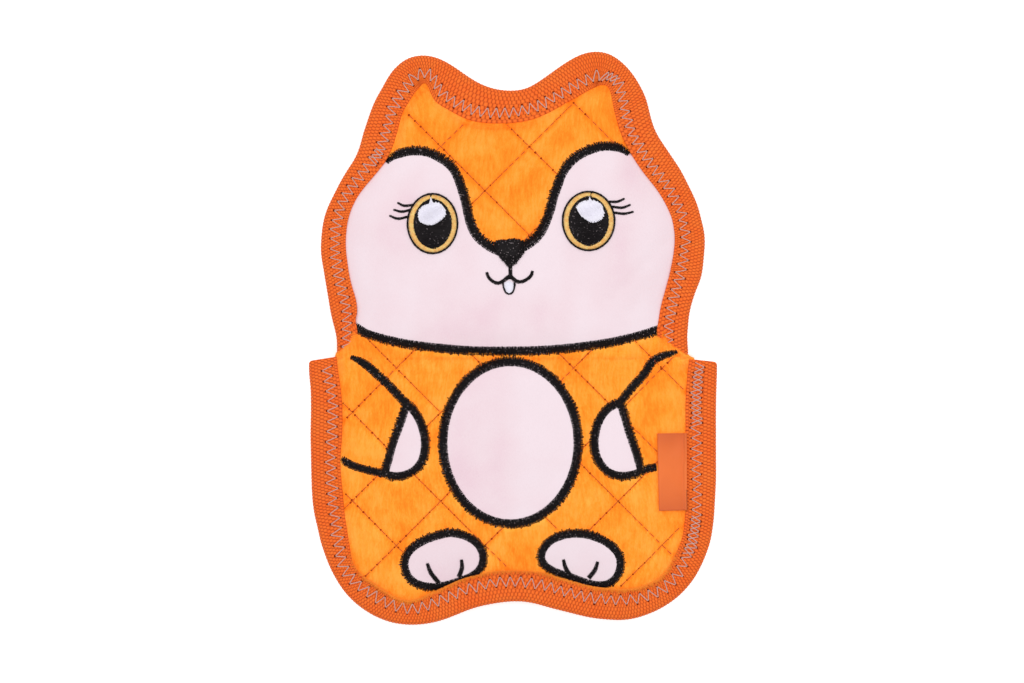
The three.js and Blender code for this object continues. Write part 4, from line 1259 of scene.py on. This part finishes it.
# How wide each line is in pixels, all along, at its points, or at shares of its length
pixelsWide = {
    "ring": 5, "outline": 1.7, "seam": 1.4, "peak": [0.8, 2.2, 6], "lash": [1.7, 2.6, 2.4], "philtrum": 3.7,
    "smile": [2.8, 3.1, 3.2, 3.3, 3.6, 3.8, 3.6], "toothLine": 1.9, "neckline": 8, "belly": 8.4, "paw": 7.8,
    "foot": 7.6, "forearm": 7.4, "toe": [2.8, 4.2, 4.6], "brow": ([0, 0.1, 0.5, 1], [6, 8.6, 8.6, 9]),
    "arm": ([0, 0.12, 0.3, 1], [3, 7, 8, 7.8]),
}
eyes = {
    "left": {
        "outer": ((432.7, 223.9), (24.9, 29.7)), "ring": ((432.9, 224), (21.5, 26.2)),
        "pupil": ((432.9, 224), (20.8, 25.4)), "peak": [(431, 198), (431.3, 201), (431.6, 205)],
        "seam": [(431, 194.2), (431, 199)], "glintTurn": 55,
        "glint": [(430, 204), (433.5, 202.6), (438, 202.8), (441.5, 205), (444.4, 208.8), (446, 212),
                  (446, 215.6), (443.5, 218.8), (438, 223), (431, 225.6), (425, 224.6), (420.3, 222),
                  (418.8, 218.6), (418.2, 214), (420, 208.8), (424.2, 205.8)],
        "lashes": [[(398, 203), (404, 206), (414, 205)], [(394, 210), (402, 212), (411, 210)],
                   [(390, 216), (398, 219), (408, 217)]],
    },
    "right": {
        "outer": ((588.4, 221.3), (25.9, 29.3)), "ring": ((588.5, 221.4), (22.5, 26)),
        "pupil": ((588.5, 221.4), (21.8, 25.3)), "peak": [(589.4, 197.8), (589.6, 199.8), (590, 203)],
        "seam": [(591.3, 192), (589.6, 198)], "glintTurn": 55,
        "glint": [(589.2, 200), (594.8, 201), (600, 204), (602.7, 208.4), (604, 214.4), (602.5, 218.8),
                  (595.8, 222.6), (590, 222.2), (582, 217.4), (577.4, 211), (576, 207.2), (578.4, 204),
                  (583.7, 201.2)],
        "lashes": [[(624, 199), (617, 202), (609, 202)], [(630, 205), (622, 208), (612, 207)],
                   [(633, 212), (624, 214), (614, 213)]],
    },
}


def makeEyes():
    for side, eye in eyes.items():
        end = side.capitalize()
        outer, ring, pupil = [ellipse(*eye[name]) for name in ("outer", "ring", "pupil")]
        lines = [(outer, pixelsWide["outline"], True), (eye["seam"], pixelsWide["seam"], False)]
        glint = smoothPath(eye["glint"], steps["pixels"], True)
        shine = [*chordRuns(glint, eye["glintTurn"]), (eye["peak"], pixelsWide["peak"], False)]
        satinPiece("eyeRing" + end, [(ring, pixelsWide["ring"], True)], gold, "head", "ring")
        satinPiece("eyeLine" + end, lines, black, "head", "outline")
        satinPiece("pupil" + end, chordRuns(pupil), black, "head", "pupil")
        satinPiece("glint" + end, shine, white, "head", "glint")
        for number, lash in enumerate(eye["lashes"], 1):
            satinPiece(f"lash{end}{number}", [(lash, pixelsWide["lash"], False)], black, "head", "lash")


mouthShapes = {
    "nose": [(494.6, 243), (496.5, 240.9), (500, 239.9), (506, 239.7), (512, 238.8), (517, 238.8),
             (521, 240.5), (524.8, 244), (525.2, 249.5), (521.4, 256.6), (516.2, 263), (510.4, 267.4),
             (503.9, 262.4), (499.4, 257.3), (496, 251.4)],
    "philtrum": [(510.3, 265), (510.5, 279)],
    "left": [(486.9, 272.9), (488.4, 277.2), (492.3, 281.2), (497.5, 283.4), (502, 282), (506, 279),
             (510, 276)],
    "right": [(532.4, 271.6), (531.2, 275.6), (527.9, 278.9), (522.7, 281.6), (518, 282), (514.5, 280.2),
              (510.8, 276.4)],
    "tooth": [(504, 284.5), (505.3, 282.4), (508.8, 281.6), (512.6, 282.6), (513.8, 285.5), (513.2, 289.5),
              (511.6, 292.3), (508.9, 293), (506.6, 292.2), (505, 289)],
    "toothLine": [(503, 283), (503.5, 287), (504.9, 291), (507, 293.7), (509.4, 294.1), (512, 293.1),
                  (513.8, 289.8), (514.6, 285), (514.5, 283)],
}
noseTurn = 90  # the nose's threads run up and down


def makeMouth():
    nose, tooth = [smoothPath(mouthShapes[name], steps["pixels"], True) for name in ("nose", "tooth")]
    widths = {"left": pixelsWide["smile"], "right": pixelsWide["smile"], **pixelsWide}
    lines = [(mouthShapes[name], widths[name], False) for name in ("philtrum", "left", "right", "toothLine")]
    satinPiece("noseSatin", chordRuns(nose, noseTurn), black, "head", "nose", "nose")
    satinPiece("mouthSatin", lines, black, "head", "mouth", "mouth")
    satinPiece("toothSatin", chordRuns(tooth), white, "head", "tooth", "tooth")


limbs = {
    "armLeft": [(351, 357), (362, 362), (370, 368), (380, 377), (390, 386), (400, 397), (408, 405)],
    "armRight": [(677, 352), (668, 354), (660, 357), (652, 362), (647, 370), (641, 378), (634, 385),
                 (628, 392), (622, 400), (618, 404)],
    "forearmLeft": [(341, 460), (350, 464.5), (360, 468), (370, 470.5), (385.5, 473.8)],
    "forearmRight": [(641, 471), (648, 468.5), (656, 467)],
    "toesLeft": [[(427.5, 563.5), (430.5, 572), (438.5, 583)], [(461.5, 560), (462, 568), (459, 577)]],
    "toesRight": [[(563.5, 560), (565.5, 568), (570.5, 576)], [(597.5, 562), (595, 570), (589, 578)]],
}


def clockwise(ring):
    # Whether a ring of pixels, whose rows run down, turns clockwise as the toy's own plane shows it
    x, y = np.array(ring, float).T
    return float((x * np.roll(y, -1) - np.roll(x, -1) * y).sum()) < 0


def makeLines():
    wider, spill = satin["wider"], satin["spill"]

    def lineRun(points, name, closed=False):
        wide = pixelsWide[name]
        if isinstance(wide, tuple):
            wide = np.interp(np.linspace(0, 1, len(points)), *wide)
        return [(points, wide * wider, closed)]

    for side, brow, way in (("Left", leftBrow, -1), ("Right", rightBrow, 1)):
        node = nodeName("browLine" + side)
        satinPiece("brow" + side, lineRun(brow, "brow"), black, "head", "line", node, way * spill)
    satinPiece("necklineBand", lineRun(neckline, "neckline"), black, "fold", "line", "neckline", spill)
    ring = ellipse(belly["middle"], belly["half"])
    satinPiece("bellyBand", lineRun(ring, "belly", True), black, "fold", "line", "belly_line", -spill)
    for side, paw, foot in (("Left", leftPaw, leftFoot), ("Right", rightPaw, rightFoot)):
        for limb, ring in (("paw", paw), ("foot", foot)):
            node = nodeName(limb + "Line" + side)
            outward = spill if clockwise(ring) else -spill
            satinPiece(limb + side, lineRun(ring, limb, True), black, "torso", "line", node, outward)
        for limb in ("arm", "forearm"):
            run = lineRun(limbs[limb + side], limb)
            satinPiece(limb + side, run, black, "torso", "line", nodeName(limb + "Line" + side))
        for number, toe in enumerate(limbs["toes" + side], 1):
            node = nodeName(f"toeLine{side}{number}")
            satinPiece(f"toe{side}{number}", [(toe, pixelsWide["toe"], False)], black, "torso", "toe", node)


makeEyes()
makeMouth()
makeLines()
print("embroidery made")

# Zigzag stitching along both faces of the webbing, doubled where it was started and ended

zigzag = {
    "bodyPitch": 4.45 * mm, "headPitch": 3.95 * mm, "radius": 0.2 * mm, "dip": 0.35 * mm, "laid": 0.8,
    "shares": (0, 0.08, 0.3, 0.5, 0.7, 0.92), "uneven": 0.22 * mm, "fromEnd": 2 * mm, "doubledPhase": 0.42,
    "fewest": 12, "hole": 0.5 * mm, "holeFlat": 0.45, "holeLift": 0.02 * mm,
}
closer = [((402, 603), 34, 1.9 * mm), ((325, 440), 90, 0.5 * mm)]
doubled = [(368, 146, 386, 174), (596, 60, 619, 84), (684, 352, 704, 432), (678, 512, 700, 562)]
dice = np.random.default_rng(11)


def alongPath(at, *columns):
    return [np.interp(at, range(len(column)), column) for column in columns]


def stitchMiddles(path):
    # How far in from the outer edge the zigzag's middle runs
    outer, _, widths = path
    inside = widths - web["stitchInset"] - web["stitchWidth"] / 2
    for pixel, reach, amount in closer:
        away = np.linalg.norm(outer - fromPhoto([pixel])[0], axis=1) / (reach * photo["pixel"])
        inside = inside + amount * np.exp(-away**2)
    return inside


def zigzagRun(path, middles, middleAlong, pitch, sign, phase, first, last):
    # Thread from needle point to needle point over one face, in even steps along its own middle
    outer, side, widths = path
    needles = []
    for number, along in enumerate(np.arange(first + phase * pitch, last, pitch / 2)):
        at = np.interp(along + dice.normal(0, zigzag["uneven"] / 2), middleAlong, range(len(middleAlong)))
        inside = np.interp(at, range(len(middles)), middles) + (0.5 - number % 2) * web["stitchWidth"]
        needles.append((at, inside + dice.normal(0, zigzag["uneven"]), number % 2))
    points = []
    for (atA, insideA, _), (atB, insideB, _) in zip(needles, needles[1:]):
        for share in zigzag["shares"]:
            points.append((atA + (atB - atA) * share, insideA + (insideB - insideA) * share, share == 0))
    at, inside, dip = np.array(points).T
    x, y, sideX, sideY, wide = alongPath(at, *outer.T, *side.T, widths)
    surface = tapeHalf(inside, wide) * webSwell(at * web["step"])
    flat = np.column_stack([x + sideX * inside, y + sideY * inside])
    height = surface + zigzag["laid"] * zigzag["radius"] - dip * zigzag["dip"]
    places = np.column_stack([flat, toy["middle"] + sign * height])
    holes = np.column_stack([flat, toy["middle"] + sign * (surface + zigzag["holeLift"])])
    return places, holes[::len(zigzag["shares"])]


def makeZigzag(lobe, path, pitch):
    places, edges, needles = [], [], []
    outer, side, _ = path
    middles = stitchMiddles(path)
    middle = outer + side * middles[:, None]
    middleAlong = alongLine(middle)
    spans = [(0.0, zigzag["fromEnd"], middleAlong[-1] - zigzag["fromEnd"])]
    pixelX = middle[:, 0] / photo["pixel"] + photo["middleX"]
    pixelY = -middle[:, 1] / photo["pixel"] + photo["middleY"]
    for left, top, right, low in doubled:
        within = (pixelX > left) & (pixelX < right) & (pixelY > top) & (pixelY < low)
        if within.sum() > zigzag["fewest"]:
            at = middleAlong[np.flatnonzero(within)]
            whole = math.ceil((at.min() - zigzag["fromEnd"]) / pitch)
            spans.append((zigzag["doubledPhase"], zigzag["fromEnd"] + whole * pitch, at.max()))
    for sign in (1, -1):
        for phase, first, last in spans:
            run, holes = zigzagRun(path, middles, middleAlong, pitch, sign, phase, first, last)
            edges += [(len(places) + at, len(places) + at + 1) for at in range(len(run) - 1)]
            places += run.tolist()
            needles += holes.tolist()
    growPiece(lobe + "Zigzag", "webbing", places, edges, runTree, {**zigzag, "material": zigzagThread})
    # Dark dots at the needle holes, painted shade
    growPiece(lobe + "NeedleHoles", "webbing", needles, [], dotTree, {
        "radius": zigzag["hole"], "flat": zigzag["holeFlat"], "material": needleHoleShade})


makeZigzag("head", headPath, zigzag["headPitch"])
makeZigzag("body", bodyPath, zigzag["bodyPitch"])
print("zigzag made")

# Quilting stitches over the orange plush

stitch = {
    "spacing": 3.6 * mm, "long": 2.9 * mm, "radius": 0.25 * mm, "rise": 0.2 * mm, "sunk": 0.06 * mm,
    "clear": 1.5 * mm, "clearOfPatch": 0.05, "pit": 0.5 * mm, "pitFlat": 0.8, "lines": 9,
    "lineHalf": 320 * mm, "halfWide": 90 * mm, "low": -128 * mm, "high": 126 * mm,
}


def quiltStitches(sign):
    diagonal = quilt["pitch"] * math.sqrt(2)
    places, turns, pits = [], [], []
    heights = frontHeight if sign > 0 else backHeight
    hidden = patched if sign > 0 else 0 * patched
    for number in range(-stitch["lines"], stitch["lines"] + 1):
        for way, share in ((1, quilt["alongShare"]), (-1, quilt["acrossShare"])):
            # Along the line where way * x + upward is constant
            offset = (number + share) * diagonal
            for run in np.arange(-stitch["lineHalf"], stitch["lineHalf"], stitch["spacing"]):
                half = run / math.sqrt(2)
                x = way * offset / 2 + half
                y = toy["fold"] + offset / 2 - way * half
                inReach = abs(x) < stitch["halfWide"] and stitch["low"] < y < stitch["high"]
                if not inReach or sample(edgeDistance, x, y) < stitch["clear"]:
                    continue
                if sample(hidden, x, y) > stitch["clearOfPatch"]:
                    continue
                z = toy["middle"] + sign * (sample(heights, x, y) - stitch["sunk"])
                places.append((x, y, z))
                turns.append(-way * math.pi / 4)
                # One pit serves the end of a stitch and the start of the next
                end = stitch["spacing"] / 2 / math.sqrt(2)
                pits.append((x - end, y + way * end, z))
    return places, turns, pits


def makeQuilting():
    for name, sign in (("front", 1), ("back", -1)):
        places, turns, pits = quiltStitches(sign)
        growPiece(name + "Quilting", "plush", places, [], stitchTree, {
            **stitch, "material": quiltThread}, {"turn": turns})
        # Dark dots where the quilting stitches go in, painted shade
        growPiece(name + "QuiltPits", "plush", pits, [], dotTree, {
            "radius": stitch["pit"], "flat": stitch["pitFlat"], "material": quiltPitShade})


makeQuilting()
print("quilting made")

# Fuzz: the nap's ends, combed down over the webbing's inner edge

fuzz = {
    "apart": 0.16 * mm, "long": 1.1 * mm, "longer": 1.6 * mm, "radius": 0.09 * mm, "rise": 0.25 * mm,
    "rooted": 0.5 * mm, "from": 0.25, "full": 0.75, "fan": 0.5, "within": 1 * mm, "lift": 0.02 * mm,
    "seed": 31,
}


def makeFuzz():
    outer, side, widths = bodyPath
    places, turns, longer = [], [], []
    for at in np.arange(0, len(outer) - 1, fuzz["apart"] / web["step"]):
        x, y, inX, inY, wide = alongPath(at, *outer.T, *side.T, widths)
        share = float(step01((inY - fuzz["from"]) / (fuzz["full"] - fuzz["from"])))
        for sign in (1, -1):
            if dice.random() > share:
                continue
            more = fuzz["longer"] * dice.random() ** 2
            turn = math.atan2(-inY, -inX) + dice.normal(0, fuzz["fan"])
            out = (fuzz["long"] + more) / 2 - fuzz["rooted"]
            height = float(tapeHalf(wide - fuzz["within"], wide)) + fuzz["lift"]
            places.append((x + inX * wide + math.cos(turn) * out, y + inY * wide + math.sin(turn) * out,
                           toy["middle"] + sign * height))
            turns.append(turn)
            longer.append(more)
    mesh = growPiece("edgeFuzz", "plush", places, [], stitchTree, {
        **fuzz, "material": fuzzFibre}, {"turn": turns, "longer": longer})
    print("fuzz has", len(mesh.polygons), "faces")


makeFuzz()

# Label: a bare ribbon folded double, sewn in at its right edge

label = {
    "left": 658.2, "right": 687, "top": 433.3, "low": 510.5, "rows": 70, "columns": 26, "rightShift": 1.6,
    "thick": 0.35 * mm, "gap": 0.25 * mm, "lift": 0.45 * mm, "soften": 5.0, "reach": 12, "spread": 0.8 * mm,
    "tapeEdge": 0.8 * mm, "tapeSunk": 0.3 * mm, "curl": 0.5 * mm, "wave": 0.12 * mm, "waves": 190,
    "foldSteps": 8,
}


def labelRest(x, y):
    # The heights over the plush and the webbing that the ribbon rests on, evened out along it
    shifts = (-label["spread"], 0, label["spread"])
    under = np.max([sample(frontHeight, x + shift, y) for shift in shifts], axis=0)
    overTape = sample(edgeDistance, x, y) < label["tapeEdge"]
    under = toy["middle"] + np.where(overTape, np.maximum(under, web["half"] - label["tapeSunk"]), under)
    weights = bell(label["soften"], label["reach"])
    columns = [np.convolve(np.pad(column, label["reach"], "edge"), weights, "valid") for column in under.T]
    return np.maximum(np.stack(columns).T, under) + label["lift"]


def makeLabel():
    (left, top), (right, low) = fromPhoto([(label["left"], label["top"]), (label["right"], label["low"])])
    ys = np.linspace(low, top, label["rows"])
    xs = np.linspace(left, right, label["columns"])
    x, y = np.meshgrid(xs, ys)
    x = x + (top - y) / (top - low) * label["rightShift"] * photo["pixel"] * (x < right)
    fromLeft = (x - x[:, :1]) / (right - left)
    base = labelRest(x, y) + label["curl"] * (1 - fromLeft) ** 3
    half = label["thick"] + label["gap"] / 2
    wave = label["wave"] * np.sin(y * label["waves"]) * (1 - fromLeft)
    heights = (2 * half, half + label["gap"] / 2, label["thick"], 0)
    outerTop, innerTop, innerLow, outerLow = [np.dstack([x, y, base + wave + height]) for height in heights]
    turns = np.linspace(0, math.pi, label["foldSteps"] + 1)[1:-1]
    folds = []
    for radius, above, below in ((half, outerTop, outerLow), (label["gap"] / 2, innerTop, innerLow)):
        middle = (above[:, 0, 2] + below[:, 0, 2]) / 2
        folds.append(np.dstack([
            x[:, :1] - radius * np.sin(turns)[None], y[:, :1] + 0 * turns[None],
            middle[:, None] + radius * np.cos(turns)[None]]))

    # One ring of points round the folded ribbon's section, at each place along it
    outerFold, innerFold = folds
    ring = np.concatenate([
        outerTop[:, ::-1], outerFold, outerLow, innerLow[:, ::-1], innerFold[:, ::-1], innerTop], axis=1)
    count = ring.shape[1]
    faces = ringQuads(len(ys), count)[:, [0, 3, 2, 1]].tolist()

    # The two ends across the ribbon are strips between its outer and inner sides
    across = len(xs) + len(turns) + len(xs)
    for start, way in ((0, 1), ((len(ys) - 1) * count, -1)):
        for at in range(across - 1):
            quad = [start + at, start + at + 1, start + count - 2 - at, start + count - 1 - at]
            faces.append(quad[::way])
    ribbon = addPiece("ribbon", ring.reshape(-1, 3), faces, ribbonWeave)
    turnOutward(ribbon.data)
    finishPiece(ribbon, "label", "tab", "label")


makeLabel()
print("label made")

# Nap over the plush: short strands, lying the way that noise turns them

nap = {
    "long": 1.6 * mm, "thick": 0.12 * mm, "lift": 0.14, "strands": {"Front": 80000, "Back": 50000},
    "swirl": 26.0, "sway": (3.4, 2.2, 0.0), "fanLow": (-0.45, -0.45, -0.25), "fanHigh": (0.45, 0.45, 0.35),
    "rooted": 0.33, "grooveShade": 1.7, "facing": -0.2, "seed": 20,
    "bareHalf": 0.7 * mm, "bareShare": 0.25, "shadeHalf": 1.5 * mm, "patchSoft": 0.5, "patchShare": 0.35,
    "overEdge": 0.4 * mm, "edgeFade": 1 * mm, "edgeLift": 0.9, "edgeReach": 2.2 * mm, "edgePull": 3.0,
    "edgeSoft": 1.0, "edgeMore": 1.5, "shoulderLess": 0.9,
}


def makeNapTree():
    nodes, given = startTree("nap", ["long", "thick", "lift", "density"], 2)
    mask = named(nodes, "nap")
    spread = nodes.tree.nodes.new("GeometryNodeDistributePointsOnFaces")
    nodes.give(spread.inputs["Mesh"], given["line"])
    nodes.give(spread.inputs["Density"], given["density"] * mask)
    nodes.give(spread.inputs["Seed"], given["seed"])
    points, normal = Value(nodes, spread.outputs["Points"]), Value(nodes, spread.outputs["Normal"])
    place = nodes.add("GeometryNodeInputPosition")
    swirl = nodes.add("ShaderNodeTexNoise", None, {
        "Vector": place, "Scale": nap["swirl"], "Detail": 2.0}, "Color")
    fine = nodes.add("FunctionNodeRandomValue", {"data_type": "FLOAT_VECTOR"}, {
        0: nap["fanLow"], 1: nap["fanHigh"], 8: given["seed"] + 1.0})
    sway = nodes.vectorMaths("MULTIPLY", nodes.vectorMaths("SUBTRACT", swirl, (0.5, 0.5, 0.5)), nap["sway"])
    outward = nodes.vector(named(nodes, "outX"), named(nodes, "outY"), 0.0)
    lean = nodes.vectorMaths("ADD", nodes.vectorMaths("ADD", outward, sway), fine)
    along = nodes.vectorMaths("SUBTRACT", lean, nodes.vectorMaths(
        "MULTIPLY", normal, nodes.vector(*[nodes.vectorMaths("DOT_PRODUCT", lean, normal, 1)] * 3)))
    up = nodes.vectorMaths("MULTIPLY", normal, nodes.vector(*[given["lift"] + named(nodes, "raised")] * 3))
    way = nodes.vectorMaths("ADD", nodes.vectorMaths("NORMALIZE", along, (0, 0, 0)), up)
    turned = nodes.add("FunctionNodeAlignRotationToVector", {"axis": "X"}, {"Vector": way})
    rolled = nodes.add("FunctionNodeAlignRotationToVector", {"axis": "Z", "pivot_axis": "X"}, {
        "Rotation": turned, "Vector": normal})
    roll = nodes.vector(randomValue(nodes, given, 4, *vary["napRoll"]), 0.0, 0.0)
    leaning = turnedBy(nodes, rolled, roll)
    triangle = nodes.add("GeometryNodeMeshCircle", {"fill_type": "NGON"}, {"Vertices": 3, "Radius": 1.0})
    strand = nodes.add("GeometryNodeTransform", None, {
        "Geometry": triangle, "Translation": nodes.vector(given["long"] * nap["rooted"], 0.0, 0.0),
        "Scale": nodes.vector(given["long"] * (1 - nap["rooted"]), given["thick"], 1.0)})
    size = randomValue(nodes, given, 2, *vary["napLong"])
    # Painted shade: strands near the quilted lines are made darker, besides their random tone
    tint = randomValue(nodes, given, 3, 0.0, 1.0) - named(nodes, "groove") * nap["grooveShade"]
    tinted = nodes.add("GeometryNodeStoreNamedAttribute", {"data_type": "FLOAT", "domain": "POINT"}, {
        "Geometry": points, "Name": "tint", "Value": tint})
    size = size * (named(nodes, "raised") + 1.0)
    placed = placeOnPoints(nodes, tinted, strand, nodes.vector(size, 1.0, 1.0), leaning)
    return endTree(nodes, placed, given)


napTree = makeNapTree()


def makeNap():
    normals = np.empty(len(cover.data.vertices) * 3)
    cover.data.vertices.foreach_get("normal", normals)
    upward = normals.reshape(-1, 3)[:, 2]
    x, y, _ = meshPlaces(cover.data).T
    edge, bare = sample(edgeDistance, x, y), sample(blurred(patched, nap["patchSoft"]), x, y)
    lineAway = quiltLineAway(*quiltPlaces(x, y))
    shown = step01((edge + nap["overEdge"]) / nap["edgeFade"])
    shown *= nap["bareShare"] + (1 - nap["bareShare"]) * step01(lineAway / nap["bareHalf"])
    # Painted groove shadow, strongest on the quilted lines
    groove = step01(1 - lineAway / nap["shadeHalf"])
    near = step01(1 - np.maximum(edge, 0) / nap["edgeReach"])
    near *= 1 - nap["shoulderLess"] * sample(shoulder, x, y)
    slopeY, slopeX = np.gradient(blurred(edgeDistance, nap["edgeSoft"]), grid["step"])
    outX = -nap["edgePull"] * near * sample(slopeX, x, y)
    outY = -1 - nap["edgePull"] * near * sample(slopeY, x, y)
    front = upward > nap["facing"]
    for side, facing in (("Front", front * (bare <= nap["patchShare"])), ("Back", upward < nap["facing"])):
        for lobe, inLobe in (("head", y > toy["fold"]), ("body", y <= toy["fold"])):
            mask = facing * inLobe * shown * (1 + nap["edgeMore"] * near)
            area = mask.sum() * grid["step"] ** 2
            values = {
                **nap, "density": nap["strands"][side] / area, "seed": nap["seed"] + len(lobe + side),
                "material": plushNap}
            mesh = grown(placeMesh("napBase", cover.data.copy()), napTree, values, {
                "nap": mask, "outX": outX, "outY": outY, "groove": groove, "raised": near * nap["edgeLift"]})
            print(lobe + side, "nap has", len(mesh.polygons), "faces")
            addGrown(f"{lobe}{side}Nap", mesh, "plush")


makeNap()
plushNodes = ("head_front_plush", "head_back_plush", "body_front_plush", "body_back_plush")
finishPiece(cover, "plush", "fold", *plushNodes)
print("nap made")

# Floor, background and lamps

light = {
    "world": 0.71, "lampPower": 3.5, "lampSize": 0.7, "lampHeight": 1.1, "lampAside": 0.5, "lampAlong": 0.25,
    "floorSize": 6.0, "floorLow": -0.4 * mm, "floorGlow": 0.5, "floorShade": 0.92,
}


def seenRays(nodes):
    # 1 for what the camera sees, also by reflection or through glass
    rays = nodes.tree.nodes.new("ShaderNodeLightPath")
    camera, glossy, through = [
        Value(nodes, rays.outputs[f"Is {kind} Ray"]) for kind in ("Camera", "Glossy", "Transmission")]
    return camera.join("MAXIMUM", camera, glossy.join("MAXIMUM", glossy, through))


def makeFloor():
    half, low = light["floorSize"] / 2, light["floorLow"]
    corners = [(-half, -half, low), (half, -half, low), (half, half, low), (-half, half, low)]
    floor = addPiece("floor", corners, [(0, 1, 2, 3)])
    material = bpy.data.materials.new("floorWhite")
    material.use_nodes = True
    material.node_tree.nodes.clear()
    nodes = Nodes(material.node_tree)
    shade = light["floorShade"]
    matt = nodes.add("ShaderNodeBsdfDiffuse", None, {"Color": (shade, shade, shade, 1.0)})
    glow = nodes.add("ShaderNodeEmission", None, {
        "Color": (1.0, 1.0, 1.0, 1.0), "Strength": light["floorGlow"]})
    lit = nodes.add("ShaderNodeAddShader", None, {0: matt, 1: glow})
    shown = nodes.add("ShaderNodeMixShader", None, {0: seenRays(nodes), 1: matt, 2: lit})
    end = nodes.tree.nodes.new("ShaderNodeOutputMaterial")
    nodes.give(end.inputs["Surface"], shown)
    floor.data.materials.append(material)


def makeLamps():
    for name, side in (("lampLeft", -1), ("lampRight", 1)):
        lamp = bpy.data.lights.new(name, "AREA")
        lamp.shape = "SQUARE"
        lamp.size = light["lampSize"]
        lamp.energy = light["lampPower"]
        place = bpy.data.objects.new(name, lamp)
        scene.collection.objects.link(place)
        place.location = (side * light["lampAside"], light["lampAlong"], light["lampHeight"])
        aim = Vector((0, 0, 0)) - place.location
        place.rotation_euler = aim.to_track_quat("-Z", "Y").to_euler()
    world = bpy.data.worlds.new("white")
    scene.world = world
    world.use_nodes = True
    nodes = Nodes(world.node_tree)
    background = world.node_tree.nodes["Background"]
    background.inputs["Color"].default_value = (1, 1, 1, 1)
    nodes.give(background.inputs["Strength"], seenRays(nodes) * (1 - light["world"]) + light["world"])


makeFloor()
makeLamps()
scene.view_settings.view_transform = "Standard"
print("floor and lamps placed")
